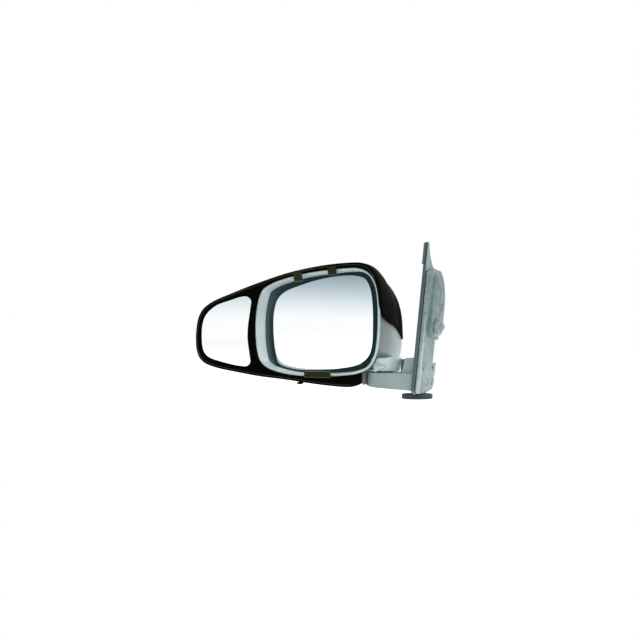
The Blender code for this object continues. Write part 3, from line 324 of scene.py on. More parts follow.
def lean(h, y, v):
    """From the sail's own frame: height off its outer face, y, up the sail."""
    c, s = math.cos(SAIL_LEAN), math.sin(SAIL_LEAN)
    return (SAIL_X0 + h * c + v * s, y, v * c - h * s)


def leaned(solid):
    verts, faces = solid
    return [lean(*v) for v in verts], faces


def tilt_y(solid, centre, degrees):
    """A solid turned about the y direction through centre, x towards z."""
    t = math.radians(degrees)
    c, s = math.cos(t), math.sin(t)
    out = []
    for x, y, z in solid[0]:
        dx, dz = x - centre[0], z - centre[2]
        out.append((centre[0] + dx * c - dz * s, y, centre[2] + dx * s + dz * c))
    return out, solid[1]


ROW = np.array(lean(DOOR_H, DOOR_Y, DOOR_V))


def to_row(p):
    return (np.array(p, float) - ROW) * MM


# ================================================================ materials
def new_material(name, colour, metallic, roughness):
    mat = bpy.data.materials.new(name)
    mat.use_nodes = True
    tree = mat.node_tree
    shader = tree.nodes["Principled BSDF"]
    shader.inputs["Metallic"].default_value = metallic
    shader.inputs["Roughness"].default_value = roughness
    shader.inputs["Base Color"].default_value = (*colour, 1.0)
    mat.diffuse_color = (*colour, 1.0)
    return mat, tree, shader


def node(tree, kind, **values):
    n = tree.nodes.new(kind)
    for key, value in values.items():
        if hasattr(n, key):
            setattr(n, key, value)
        else:
            n.inputs[key].default_value = value
    return n


def noise(tree, coords, scale, detail=2.0, rough=0.5, distort=0.0):
    n = node(tree, "ShaderNodeTexNoise")
    n.inputs["Scale"].default_value = scale
    n.inputs["Detail"].default_value = detail
    n.inputs["Roughness"].default_value = rough
    n.inputs["Distortion"].default_value = distort
    tree.links.new(coords, n.inputs["Vector"])
    return n.outputs["Fac"]


def ramp(tree, fac, stops):
    n = node(tree, "ShaderNodeValToRGB")
    while len(n.color_ramp.elements) < len(stops):
        n.color_ramp.elements.new(0.5)
    for element, (at, colour) in zip(n.color_ramp.elements, stops):
        element.position = at
        element.color = (*colour, 1.0) if len(colour) == 3 else colour
    tree.links.new(fac, n.inputs["Fac"])
    return n.outputs["Color"]


def spread(tree, fac, low, high):
    n = node(tree, "ShaderNodeMapRange")
    n.inputs["To Min"].default_value = low
    n.inputs["To Max"].default_value = high
    tree.links.new(fac, n.inputs["Value"])
    return n.outputs["Result"]


def mixed(tree, fac, a, b, blend="MIX"):
    n = node(tree, "ShaderNodeMix")
    n.data_type = "RGBA"
    n.blend_type = blend
    for value, socket in ((fac, n.inputs[0]), (a, n.inputs[6]), (b, n.inputs[7])):
        if isinstance(value, (int, float)):
            socket.default_value = value
        elif isinstance(value, tuple):
            socket.default_value = (*value, 1.0)
        else:
            tree.links.new(value, socket)
    return n.outputs[2]


def bumped(tree, shader, heights, edge=0.0):
    """heights: (fac, strength, distance in mm) from fine to coarse."""
    normal = None
    if edge:
        soft = node(tree, "ShaderNodeBevel")
        soft.samples = 4
        soft.inputs["Radius"].default_value = edge * MM
        normal = soft.outputs["Normal"]
    for fac, strength, distance in heights:
        b = node(tree, "ShaderNodeBump")
        b.inputs["Strength"].default_value = strength
        b.inputs["Distance"].default_value = distance * MM
        tree.links.new(fac, b.inputs["Height"])
        if normal is not None:
            tree.links.new(normal, b.inputs["Normal"])
        normal = b.outputs["Normal"]
    if normal is not None:
        tree.links.new(normal, shader.inputs["Normal"])


def coords_of(tree):
    return node(tree, "ShaderNodeTexCoord").outputs["Object"]


def painted(name, light, dark, roughness=0.42, edge=0.5, cast=0.0, rim_shade=None):
    """Sprayed primer: an orange-peel skin, faint cloudiness and fine specks.
    rim_shade is (y, y, tone): painted shade, darkest before the first y, a touch lighter past the
    second."""
    mat, tree, shader = new_material(name, light, 0.0, roughness)
    at = coords_of(tree)
    cloud = noise(tree, at, 14.0, 3.0, 0.55)
    speck = noise(tree, at, 900.0, 2.0, 0.6)
    peel = noise(tree, at, 420.0, 2.0, 0.5)
    if cast:
        pits = noise(tree, at, 120.0, 4.0, 0.7)
        cloud = node(tree, "ShaderNodeMath")
        cloud.operation = "ADD"
        tree.links.new(spread(tree, noise(tree, at, 14.0, 3.0, 0.55), 0.0, 0.45), cloud.inputs[0])
        tree.links.new(spread(tree, pits, 0.0, 0.55), cloud.inputs[1])
        cloud = cloud.outputs["Value"]
    base = ramp(tree, cloud, [(0.36 if cast else 0.3, dark), (0.62 if cast else 0.72, light)])
    fleck = ramp(tree, speck, [(0.35, (0.86, 0.86, 0.86)), (0.62, (1.04, 1.04, 1.04))])
    colour = mixed(tree, 1.0, base, fleck, "MULTIPLY")
    # painted shade: the colour darkens towards the first y
    if rim_shade:
        split = node(tree, "ShaderNodeSeparateXYZ")
        tree.links.new(at, split.inputs["Vector"])
        depth = node(tree, "ShaderNodeMapRange")
        depth.inputs["From Min"].default_value = rim_shade[0]
        depth.inputs["From Max"].default_value = rim_shade[1]
        tree.links.new(split.outputs["Y"], depth.inputs["Value"])
        rim_shade_tone = ramp(tree, depth.outputs["Result"],
                    [(0.0, rim_shade[2]), (0.5, (0.40, 0.42, 0.42)), (1.0, (1.08, 1.07, 1.06))])
        colour = mixed(tree, 1.0, colour, rim_shade_tone, "MULTIPLY")
    tree.links.new(colour, shader.inputs["Base Color"])
    tree.links.new(spread(tree, cloud, roughness - 0.08, roughness + 0.09),
                   shader.inputs["Roughness"])
    shader.inputs["Coat Weight"].default_value = 0.18
    shader.inputs["Coat Roughness"].default_value = 0.28
    heights = [(speck, 0.10, 0.05), (peel, 0.22, 0.12)]
    if cast:
        heights.append((noise(tree, at, 160.0, 4.0, 0.65), cast, 0.5))
    bumped(tree, shader, heights, edge)
    return mat


def moulded(name, light, dark, roughness=0.4, grain=1100.0, bump=0.25, spec=0.3, edge=0.5,
            scuff=0.0):
    """Injection-moulded plastic: a spark-eroded grain and uneven sheen."""
    mat, tree, shader = new_material(name, light, 0.0, roughness)
    at = coords_of(tree)
    cloud = noise(tree, at, 22.0, 3.0, 0.6)
    fine = noise(tree, at, grain, 3.0, 0.62)
    base = ramp(tree, cloud, [(0.3, dark), (0.7, light)])
    dust = ramp(tree, fine, [(0.40, (0.80, 0.80, 0.80)), (0.68, (1.18, 1.18, 1.18))])
    tree.links.new(mixed(tree, 1.0, base, dust, "MULTIPLY"), shader.inputs["Base Color"])
    tree.links.new(spread(tree, cloud, roughness - 0.07, roughness + 0.08),
                   shader.inputs["Roughness"])
    shader.inputs["Specular IOR Level"].default_value = spec
    heights = [(fine, bump, 0.08)]
    if scuff:
        wave = node(tree, "ShaderNodeTexWave")
        wave.inputs["Scale"].default_value = 60.0
        wave.inputs["Distortion"].default_value = 9.0
        wave.inputs["Detail"].default_value = 3.0
        tree.links.new(at, wave.inputs["Vector"])
        heights.append((wave.outputs["Fac"], scuff, 0.05))
    bumped(tree, shader, heights, edge)
    return mat


def metal(name, light, dark, roughness=0.32, stretch=(1.0, 1.0, 1.0), scale=500.0, bump=0.15,
          edge=0.2):
    """Turned, plated or cast metal with fine lines or grain."""
    mat, tree, shader = new_material(name, light, 1.0, roughness)
    at = coords_of(tree)
    place = node(tree, "ShaderNodeMapping")
    place.inputs["Scale"].default_value = stretch
    tree.links.new(at, place.inputs["Vector"])
    lines = noise(tree, place.outputs["Vector"], scale, 3.0, 0.6)
    cloud = noise(tree, at, 40.0, 2.0, 0.5)
    base = ramp(tree, cloud, [(0.3, dark), (0.7, light)])
    tree.links.new(base, shader.inputs["Base Color"])
    tree.links.new(spread(tree, lines, roughness - 0.1, roughness + 0.12),
                   shader.inputs["Roughness"])
    bumped(tree, shader, [(lines, bump, 0.06)], edge)
    return mat


def painted_reflection_pane(name, stops, low_z, high_z, roughness):
    """Mirror-coated glass with a painted reflection: its colour runs through the given stops
    from bottom to top, with a trace of dust and wipe marks in its sheen."""
    mat, tree, shader = new_material(name, (0.9, 0.93, 0.95), 1.0, roughness)
    at = coords_of(tree)
    split = node(tree, "ShaderNodeSeparateXYZ")
    tree.links.new(at, split.inputs["Vector"])
    height = node(tree, "ShaderNodeMapRange")
    height.inputs["From Min"].default_value = low_z
    height.inputs["From Max"].default_value = high_z
    tree.links.new(split.outputs["Z"], height.inputs["Value"])
    # painted reflection: the glass's colour follows its height
    tone = ramp(tree, height.outputs["Result"], stops)
    haze = noise(tree, at, 18.0, 4.0, 0.6, 0.6)
    veil = ramp(tree, haze, [(0.35, (0.985, 0.988, 0.99)), (0.7, (1.0, 1.0, 1.0))])
    tree.links.new(mixed(tree, 1.0, tone, veil, "MULTIPLY"), shader.inputs["Base Color"])
    tree.links.new(spread(tree, haze, roughness, roughness + 0.03), shader.inputs["Roughness"])
    return mat


PRIMER = painted("primer", (0.285, 0.365, 0.36), (0.215, 0.285, 0.285), 0.36)
# a lighter copy of the one primer, for the bezel and neck: painted light
PRIMER_LIT = painted("primer_painted_lit", (0.44, 0.52, 0.515), (0.34, 0.42, 0.42), 0.34)
# the head shell's primer, with painted shade on its side just behind the rim
PRIMER_SHELL_SHADED = painted("primer_shell_painted_shade", (0.30, 0.375, 0.37), (0.24, 0.31, 0.31), 0.36, 0.5, 0.0,
                       (-0.016, 0.080, (0.12, 0.16, 0.175)))
PRIMER_HIGHLIGHT = painted("primer_painted_highlight", (0.34, 0.41, 0.405), (0.27, 0.34, 0.335), 0.36)
# a darker copy of the one primer, for the foot, sail cover and boss: painted shade
PRIMER_SHADED = painted("primer_painted_shaded", (0.215, 0.285, 0.28), (0.165, 0.225, 0.225), 0.40)
PRIMER_CAST = painted("primer_cast", (0.190, 0.262, 0.258), (0.078, 0.122, 0.126), 0.42, 0.6, 0.85)
PRIMER_EDGE_SHADE = painted("primer_painted_shade_edge", (0.034, 0.062, 0.066), (0.019, 0.038, 0.042), 0.48)
# painted shade: a dark primer for the recess round the glass, the gap by the neck and the glass's edge
PRIMER_SHADE = painted("primer_dark", (0.035, 0.058, 0.063), (0.018, 0.034, 0.038), 0.5)
BLACK = moulded("black_plastic", (0.0024, 0.0025, 0.0016), (0.0013, 0.0014, 0.0009), 0.36, 900.0,
                0.20, 0.5, 0.9)
# a weak, even sheen that only shows at a glancing angle
BLACK.node_tree.nodes["Principled BSDF"].inputs["IOR"].default_value = 1.027
BLACK_HIGHLIGHT = moulded("black_painted_highlight", (0.010, 0.0105, 0.0095), (0.004, 0.0042, 0.0038), 0.24, 900.0,
                     0.08, 0.22, 0.4)
# painted shade on the shell's inside and under it round the neck, lifted by a faint cyan glow that is
# painted light
INSIDE_SHADE_GLOW = painted("primer_inside_painted_shade", (0.11, 0.165, 0.175), (0.085, 0.13, 0.14), 0.6)
inside_glow_shader = INSIDE_SHADE_GLOW.node_tree.nodes["Principled BSDF"]
inside_glow_shader.inputs["Emission Color"].default_value = (0.42, 0.88, 1.0, 1.0)
inside_glow_shader.inputs["Emission Strength"].default_value = 0.022
BLACK_MATT = moulded("black_matt", (0.016, 0.016, 0.017), (0.009, 0.009, 0.010), 0.6, 1200.0,
                     0.3, 0.2, 0.4)
OLIVE = moulded("clip_plastic", (0.017, 0.021, 0.005), (0.008, 0.010, 0.002), 0.34, 800.0, 0.2,
                0.10, 0.5, 0.06)
OLIVE_HIGHLIGHT = moulded("clip_painted_highlight", (0.070, 0.080, 0.026), (0.040, 0.046, 0.014), 0.34, 800.0, 0.2,
                     0.20, 0.5)
SLATE = moulded("pad_rubber", (0.030, 0.055, 0.060), (0.014, 0.030, 0.034), 0.6, 700.0, 0.45,
                0.3, 0.5)
RUBBER = moulded("rubber", (0.020, 0.032, 0.034), (0.011, 0.019, 0.021), 0.8, 600.0, 0.45, 0.2,
                 0.4)
SEAL = moulded("seal_rubber", (0.075, 0.130, 0.132), (0.035, 0.066, 0.070), 0.7, 600.0, 0.45, 0.2,
               0.4)
NYLON = moulded("nylon", (0.74, 0.73, 0.68), (0.66, 0.65, 0.60), 0.48, 500.0, 0.12, 0.45, 0.2)
FOAM = moulded("foam", (0.09, 0.09, 0.09), (0.05, 0.05, 0.05), 0.93, 2600.0, 0.7, 0.1, 0.0)
LABEL = moulded("label", (0.80, 0.815, 0.815), (0.66, 0.69, 0.69), 0.45, 260.0, 0.05, 0.3, 0.0)
STEEL = metal("steel", (0.50, 0.51, 0.53), (0.40, 0.41, 0.43), 0.30, (1.0, 1.0, 30.0))
ZINC = metal("zinc", (0.56, 0.54, 0.48), (0.42, 0.41, 0.38), 0.36, (1.0, 1.0, 1.0), 700.0)
COATED = metal("coated_steel", (0.30, 0.39, 0.385), (0.20, 0.27, 0.275), 0.6, (1.0, 1.0, 1.0),
               700.0)
ALUMINIUM = metal("aluminium", (0.55, 0.56, 0.58), (0.42, 0.43, 0.45), 0.48, (1.0, 1.0, 1.0),
                  300.0, 0.35)
# painted reflection in both glasses: light at mid height, darker and bluer towards the top
MAIN_PANE = painted_reflection_pane("main_pane", [(0.0, (0.78, 0.81, 0.88)), (0.10, (0.84, 0.87, 0.92)),
                               (0.26, (0.985, 0.99, 1.0)), (0.56, (0.97, 0.985, 0.99)),
                               (0.72, (0.73, 0.80, 0.835)), (0.87, (0.46, 0.56, 0.61)),
                               (1.0, (0.29, 0.38, 0.42))], -0.060, 0.114, 0.03)
EXT_PANE = painted_reflection_pane("ext_pane", [(0.0, (0.76, 0.80, 0.87)), (0.20, (0.87, 0.89, 0.93)),
                             (0.42, (0.985, 0.99, 1.0)), (0.70, (0.96, 0.98, 0.99)),
                             (1.0, (0.64, 0.74, 0.78))], -0.053, 0.074, 0.03)


# ==================================================================== pieces
def raw(name, solid):
    verts = [tuple(to_row(v)) for v in solid[0]]
    mesh = bpy.data.meshes.new(name)
    mesh.from_pydata(verts, [], [tuple(f) for f in solid[1]])
    volume = 0.0
    co = np.array(verts)
    for f in mesh.polygons:
        vs = co[list(f.vertices)]
        for i in range(1, len(vs) - 1):
            volume += float(np.dot(vs[0], np.cross(vs[i], vs[i + 1])))
    if volume < 0:
        mesh.flip_normals()
    mesh.update()
    obj = bpy.data.objects.new(name, mesh)
    bpy.context.scene.collection.objects.link(obj)
    return obj


def piece(name, solid, mat, body, nodes=(), cuts=(), joins=(), only=(), bevel=0.0,
          sharp=32.0, second=None, where=None):
    """One shown piece, built from a solid as the CAD part is, only finer."""
    obj = raw(name, solid)
    tools = []
    for kind, group in (("UNION", joins), ("INTERSECT", only), ("DIFFERENCE", cuts)):
        for k, other in enumerate(group):
            tool = raw(f"{name}_{kind.lower()}_{k}", other)
            tools.append(tool)
            mod = obj.modifiers.new(tool.name, "BOOLEAN")
            mod.operation = kind
            mod.solver = "EXACT"
            mod.object = tool
    if tools:
        bpy.context.view_layer.update()
        done = bpy.data.meshes.new_from_object(
            obj.evaluated_get(bpy.context.evaluated_depsgraph_get()))
        obj.modifiers.clear()
        obj.data = done
        for tool in tools:
            bpy.data.objects.remove(tool, do_unlink=True)
    obj.data.materials.clear()
    obj.data.materials.append(mat)
    for face in obj.data.polygons:
        face.material_index = 0
    obj.data.polygons.foreach_set("use_smooth", [True] * len(obj.data.polygons))
    if bevel:
        mod = obj.modifiers.new("soft_edges", "BEVEL")
        mod.width = bevel * MM
        mod.segments = 3
        mod.limit_method = "ANGLE"
        mod.angle_limit = math.radians(32)
        mod.harden_normals = False
        bpy.context.view_layer.update()
        done = bpy.data.meshes.new_from_object(
            obj.evaluated_get(bpy.context.evaluated_depsgraph_get()))
        obj.modifiers.clear()
        obj.data = done
        obj.data.polygons.foreach_set("use_smooth", [True] * len(obj.data.polygons))
        sharp = max(sharp, 40.0)
    obj.data.set_sharp_from_angle(angle=math.radians(sharp))
    if second is not None:
        obj.data.materials.append(second)
        for face in obj.data.polygons:
            if where(np.array(face.center) / MM + ROW, np.array(face.normal)):
                face.material_index = 1
    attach(obj, body)
    if nodes:
        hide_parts(*nodes)
    return obj


def open_spline(points, n):
    """n points along a smooth curve through points."""
    p = np.array(points, float)
    p = np.vstack([2 * p[0] - p[1], p, 2 * p[-1] - p[-2]])
    out = []
    for i in range(1, len(p) - 2):
        a, b, c, d = p[i - 1], p[i], p[i + 1], p[i + 2]
        for t in np.arange(n) / n:
            out.append(0.5 * ((2 * b) + (c - a) * t + (2 * a - 5 * b + 4 * c - d) * t * t
                              + (3 * b - a - 3 * c + d) * t ** 3))
    out.append(p[-2])
    return [tuple(q) for q in out]


FOLD = (0.0, 0.0, 0.0)

# ---------------------------------------------------------------- the sail
def sail_plate(outline, h0, h1):
    ring = outline if area(outline) > 0 else outline[::-1]
    return leaned(loft([[(h, y, v) for y, v in ring] for h in (h0, h1)]))


def offset_straight(ring, d):
    """A straight-sided counter-clockwise outline moved outwards by d."""
    out = []
    m = len(ring)
    for i in range(m):
        a, b, c = (np.array(ring[k % m], float) for k in (i - 1, i, i + 1))
        e0, e1 = (b - a) / np.linalg.norm(b - a), (c - b) / np.linalg.norm(c - b)
        n0, n1 = np.array([e0[1], -e0[0]]), np.array([e1[1], -e1[0]])
        out.append(tuple(b + (n0 + n1) * d / (1 + float(n0 @ n1))))
    return out


def inset(outline, d):
    ring = outline if area(outline) > 0 else outline[::-1]
    return offset_straight(ring, -d)


def sail_box(y0, y1, v0, v1, h0, h1, r=0.0):
    if r:
        ring = rounded(y0, y1, v0, v1, r)
    else:
        ring = [(y0, v0), (y1, v0), (y1, v1), (y0, v1)]
    return leaned(loft([[(h, y, v) for y, v in ring] for h in (h0, h1)]))


def sail_rod(y, v, r, h0, h1, n=32, chamfer=0.0):
    verts, faces = rod((0, 0, 0), "x", r, h0, h1, n, chamfer)
    return [lean(h, y + a, v + b) for h, a, b in verts], faces


def sail_turned(y, v, profile, n=32):
    verts, faces = turned(profile, (0, 0, 0), "x", n)
    return [lean(h, y + a, v + b) for h, a, b in verts], faces


ARM_WINDOW = (-17.0, 17.0, -27.5, -4.0)
INSERTS = [(10.0, 10.0), (-30.0, 10.0), (-30.0, 150.0)]
BRACKET_SCREWS = [(-9.0, -16.0), (9.0, -16.0)]


def corner_rounded(ring, r, n=6):
    """A straight-sided outline with its corners rounded by up to r."""
    out = []
    m = len(ring)
    for i in range(m):
        a, b, c = (np.array(ring[k % m], float) for k in (i - 1, i, i + 1))
        la, lc = np.linalg.norm(a - b), np.linalg.norm(c - b)
        cut = min(r, 0.45 * la, 0.45 * lc)
        p, q = b + (a - b) / la * cut, b + (c - b) / lc * cut
        for k in range(n + 1):
            t = k / n
            out.append(tuple((1 - t) ** 2 * p + 2 * t * (1 - t) * b + t * t * q))
    return out


sail_ring = corner_rounded(SAIL if area(SAIL) > 0 else SAIL[::-1], 7.0)
cover_rings = []
for h, d in ((0.0, -2.6), (0.25, -1.7), (0.8, -0.8), (1.6, -0.2), (2.4, 0.0), (COVER_T - 0.4, 0.0),
             (COVER_T, -0.4)):
    cover_rings.append([(h, y, v) for y, v in offset(np.array(sail_ring), d)])
# the cover's rear-facing edge faces take a dark primer: painted shade
piece("sail_cover_skin", leaned(loft(cover_rings)), PRIMER_SHADED, "door_base", ["sail_cover"],
      cuts=[sail_box(*ARM_WINDOW, -5, 20, 4.0)], second=PRIMER_EDGE_SHADE,
      where=lambda p, n: n[1] < -0.55)

DOME_BASE = [(-23.0, 66.0), (20.8, 66.0), (20.8, 146.0), (13.5, 170.5), (4.5, 183.2), (-20.0, 184.0)]
DOME_TOP = [(-14.5, 73.0), (15.5, 73.0), (15.5, 120.0), (12.0, 134.0), (8.0, 140.0), (-9.0, 143.0)]
BOSS = (-12.0, 86.5)


def dome(wall=0.0, n=12):
    """The raised wiring box, or the hollow under it, as one smooth dome."""
    low = np.array(corner_rounded(DOME_BASE, 6.0, 8))
    top = np.array(corner_rounded(DOME_TOP, 6.0, 8))
    rings = [(FLANGE_H1 - 3.0 if not wall else 0.0, offset(low, -wall))]
    for k in range(n + 1):
        a = math.radians(90.0 * k / n)
        inwards, height = 1 - math.cos(a), math.sin(a) ** 1.15
        h = FLANGE_H1 - wall + (BOX_H - FLANGE_H1) * height
        rings.append((h, offset(low + (top - low) * inwards, -wall)))
    return leaned(loft([[(h, y, v) for y, v in ring] for h, ring in rings]))


flange_ring = np.array(corner_rounded(FLANGE if area(FLANGE) > 0 else FLANGE[::-1], 5.0, 8))
cut_up = []
for a, b in zip(flange_ring, np.roll(flange_ring, -1, 0)):
    count = max(1, int(np.linalg.norm(b - a) // 3.0))
    cut_up += [a + (b - a) * k / count for k in range(count)]
flange_ring = np.array(cut_up)
rear = np.maximum(0.0, -normals(flange_ring)[:, 0]) ** 2
flange_rings = []
for h, d, soft in ((FLANGE_H0, 0.0, 0.6), (FLANGE_H0 + 0.6, 0.0, 0.0), (FLANGE_H0 + 1.6, 0.0, 0.0),
                   (FLANGE_H0 + 2.6, 0.25, 0.0), (FLANGE_H1 - 3.2, 1.0, 0.0),
                   (FLANGE_H1 - 2.0, 2.3, 0.0), (FLANGE_H1 - 0.9, 4.0, 0.25),
                   (FLANGE_H1 - 0.25, 5.6, 0.7), (FLANGE_H1, 6.8, 1.2)):
    flange_rings.append([(h, y, v) for y, v in offset(flange_ring, -np.maximum(d * rear, soft))])
# pressed channels and a pair of moulded ribs on the wiring box
channel = [sail_box(-35.0, -21.5, 80.0, 138.0, FLANGE_H1 - 1.0, FLANGE_H1 + 3, 5.0)]
rib_rows = []
for y, v0, v1 in ((-6.5, 106.0, 158.0), (-1.5, 100.0, 118.0)):
    rib_rows.append(leaned(loft([[(BOX_H - 4.0 + hh, y + a, v) for a, v in
                                  rounded(-w, w, v0 + 2 * k, v1 - 2 * k, min(w * 0.9, 1.0), 3)]
                                 for k, (hh, w) in enumerate(((0.0, 1.6), (4.4, 1.5), (5.1, 1.0)))])))


def painted_highlight_band(p, n):
    """The smooth rear bevel of the bracket, wider towards its foot, painted lighter: a painted
    highlight.
    """
    share = (105.0 - p[2]) / 135.0
    return 0 < share and -0.97 < n[1] < -0.16 and -40.6 - 2.6 * share < p[1] < -40.2 + 4.0 * share


piece("sail_bracket_skin", leaned(loft(flange_rings)), PRIMER_CAST, "door_base",
      ["sail_bracket"], joins=[dome()] + rib_rows,
      cuts=[dome(2.6)] + [sail_rod(y, v, 6.0, 0, 20) for y, v in INSERTS]
      + [sail_rod(y, v, 3.3, 0, 20) for y, v in BRACKET_SCREWS]
      + [sail_rod(y, v, 6.2, 12.0, 20) for y, v in BRACKET_SCREWS] + channel
      + [sail_box(7.7, 30.0, 17.7, 60.3, FLANGE_H1 - 0.5, 30),
         sail_box(-3.2, 8.2, 106.8, 129.2, BOX_H - 9.3, BOX_H + 5, 2),
         sail_rod(*BOSS, 5.0, 10, BOX_H + 5)], sharp=36.0, second=PRIMER_HIGHLIGHT, where=painted_highlight_band)

boss = [(0, BOX_H - 10.0), (4.6, BOX_H - 10.0), (4.6, BOX_H + 0.3), (11.8, BOX_H + 0.3),
        (12.4, BOX_H + 0.9), (12.4, BOX_H + 3.6), (12.0, BOX_H + 4.0), (12.0, BOX_H + 4.6),
        (12.4, BOX_H + 5.0), (12.4, BOX_H + 7.2), (12.0, BOX_H + 8.2), (11.0, BOX_H + 8.8),
        (9.8, BOX_H + 8.8), (9.5, BOX_H + 8.3), (7.8, BOX_H + 8.3), (7.4, BOX_H + 8.8),
        (6.6, BOX_H + 9.4), (6.4, BOX_H + 10.2), (6.4, BOX_H + 12.0), (6.0, BOX_H + 13.0),
        (5.0, BOX_H + 13.6), (3.0, BOX_H + 13.6), (2.6, BOX_H + 13.1), (0, BOX_H + 13.1)]
piece("locating_boss_turned", sail_turned(*BOSS, boss, 48), PRIMER_SHADED, "door_base",
      ["locating_boss"])
piece("label_film", leaned(loft([[(h, y, v) for y, v in rounded(8 + d, 22.5 - d, 18 + d, 60 - d, 1.5, 6)]
                                 for h, d in ((FLANGE_H1 - 0.4, 0.0), (FLANGE_H1 - 0.14, 0.0),
                                              (FLANGE_H1 - 0.08, 0.12))])),
      LABEL, "door_base", ["label_blank"])
seal = [(-0.6, 197), (-0.6, 236), (3.6, 236), (3.6, 197)]
seal_rings = []
for y, d in ((-49.0, -1.5), (-48.6, -0.7), (-47.9, -0.2), (-47.0, 0.0), (-46.0, 0.0), (-45.3, -0.5)):
    seal_rings.append([(h, y, v) for h, v in offset_straight(
        seal if area(seal) > 0 else seal[::-1], d)])
piece("glass_run_seal_lip", leaned(loft(seal_rings)), SEAL, "door_base", ["glass_run_seal"])

# ---------------------------------------------------------------- the foot
def foot_outline(r, half, x_end, n=54):
    out = []
    start = math.degrees(math.acos(0.12))
    for k in range(n + 1):
        t = math.radians(start + (360 - 2 * start) * k / n)
        out.append((r * math.cos(t), r * math.sin(t)))
    out.append((x_end, -half))
    out.append((x_end, half))
    return out


def foot_solid(r, half, x_end, z_top, z_left, z_right, soft=True):
    def low(x, d):
        return z_left + (z_right - z_left) * (x + 33.0) / 106.0 + d
    rings = []
    if soft:
        for k in range(7):
            a = math.radians(15 * k)
            d = 3.2 * (1 - math.sin(a))
            rings.append([(x, y, low(x, 3.2 * (1 - math.cos(a))))
                          for x, y in foot_outline(r - d, half - d, x_end)])
        for k in range(1, 5):
            a = math.radians(22.5 * k)
            d = 1.3 * (1 - math.cos(a))
            rings.append([(x, y, z_top - 1.3 + 1.3 * math.sin(a))
                          for x, y in foot_outline(r - d, half - d, x_end)])
    else:
        rings = [[(x, y, low(x, 0.0)) for x, y in foot_outline(r, half, x_end)],
                 [(x, y, z_top) for x, y in foot_outline(r, half, x_end)]]
    return loft(rings)


gusset_side = corner_rounded([(36.5, -6), (36.5, -1.9), (41.0, -0.4), (44.0, 3.4), (46.0, 9.0),
                              (47.5, 18.0), (49.0, 23.0), (51.0, 24.4), (96, 27.5), (96, -6)],
                             2.2, 4)
gusset_rings = [[(x, -20.0 + dy, z) for x, z in offset(np.array(gusset_side), -dd)]
                for dy, dd in ((0.0, 1.5), (0.2, 0.9), (0.6, 0.4), (1.1, 0.1), (1.6, 0.0))]
gusset_rings += [[(x, 20.0 - dy, z) for x, z in offset(np.array(gusset_side), -dd)]
                 for dy, dd in ((1.6, 0.0), (1.1, 0.1), (0.6, 0.4), (0.2, 0.9), (0.0, 1.5))]
gusset = loft(gusset_rings)
web = box(34.4, 52.0, -8.4, 14.0, -6, 22.5)
gusset_hollow = box(51.5, 100, -17.5, 17.5, -8, 18.5)
SAIL_FRONT_CUT = leaned(loft([[(h, y, v) for y, v in ((-90, -90), (90, -90), (90, 90), (-90, 90))]
                              for h in (-0.3, 90)]))
# the web between neck and upright, and a slanted band on the foot's left end, take painted shade
piece("foot_cover_skin", foot_solid(FOOT_R, 27.0, 90, FOOT_TOP_Z, -27.0, -33.5), PRIMER_SHADED,
      "door_base", ["foot_cover"], joins=[gusset, web], second=PRIMER_SHADE,
      where=lambda p, n: (p[2] > -1.3 and p[0] < 46.5 and abs(p[1] - 2.8) < 11.6)
      or (abs(math.hypot(p[0], p[1]) - FOOT_R) < 0.4 and p[1] < 0
          and p[0] < -25.5 + 0.26 * (p[2] + 27.0)),
      cuts=[foot_solid(FOOT_R - 2.4, 24.6, 100, FOOT_TOP_Z - 2.4, -24.6, -31.1, False),
            gusset_hollow, rod(FOLD, "z", 18.0, -8, 3, 64), SAIL_FRONT_CUT,
            rod((PAD_X, 0, 0), "z", 4.3, -50, -20, 24)])

pad_profile = [(0, -47.2), (6.0, -47.2), (6.6, -47.8), (26.2, -47.8), (27.4, -47.3), (28.0, -46.2),
               (28.0, -44.9), (27.4, -44.5), (27.4, -43.6), (28.0, -43.2), (28.0, -40.9),
               (27.5, -39.7), (26.4, -39.0), (4.8, -39.0), (4.8, -33.4), (3.2, -33.4),
               (3.2, -43.0), (0, -43.0)]
piece("base_pad_moulded", turned(pad_profile, (PAD_X, 0, 0), "z", 96), SLATE, "door_base",
      ["base_pad"])

# ---------------------------------------------------------------- the head
RES = 196
rim_n = spline(RIM, RES, 16.0)
rim_normals = normals(rim_n)
rim_angles = angles_of(rim_n)
depths = np.array([FUNNEL_LEFT * max(0.0, -nx) ** 2 + FUNNEL_RIGHT * max(0.0, nx) ** 2
                   + FUNNEL_TOP * max(0.0, nz) ** 2 + FUNNEL_BOTTOM * max(0.0, -nz) ** 2
                   for nx, nz in rim_normals])
depths = np.maximum(depths, 5.0)
profile = [(lambda d: 0.0, RIM_Y + 0.9), (lambda d: -0.12, RIM_Y + 0.45),
           (lambda d: -0.45, RIM_Y + 0.12), (lambda d: -0.9, RIM_Y),
           (lambda d: -RIM_EDGE + 0.7, RIM_Y), (lambda d: -RIM_EDGE, RIM_Y + 0.1),
           (lambda d: -RIM_EDGE - 0.5, RIM_Y + 0.45), (lambda d: -RIM_EDGE - 0.9, RIM_Y + 1.3),
           (lambda d: -RIM_EDGE - 0.9 - 0.30 * (d - 3.9), -36.0),
           (lambda d: -RIM_EDGE - 0.9 - 0.72 * (d - 3.9), -29.5),
           (lambda d: -d, -24.0), (lambda d: -d, BEZEL_BACK_Y),
           (lambda d: -d + 1.8, BEZEL_BACK_Y), (lambda d: -d + 1.8, -24.5),
           (lambda d: -3.2, -36.2), (lambda d: -3.2, TOW_SEAM_Y), (lambda d: 0.0, TOW_SEAM_Y)]
bezel_rings = []
for shape, y in profile:
    moved = offset(rim_n, [shape(d) for d in depths])
    bezel_rings.append([(x, y, z) for x, z in moved])
NECK_NOTCH = rod(FOLD, "z", 31.6, -60, 25.2, 72)

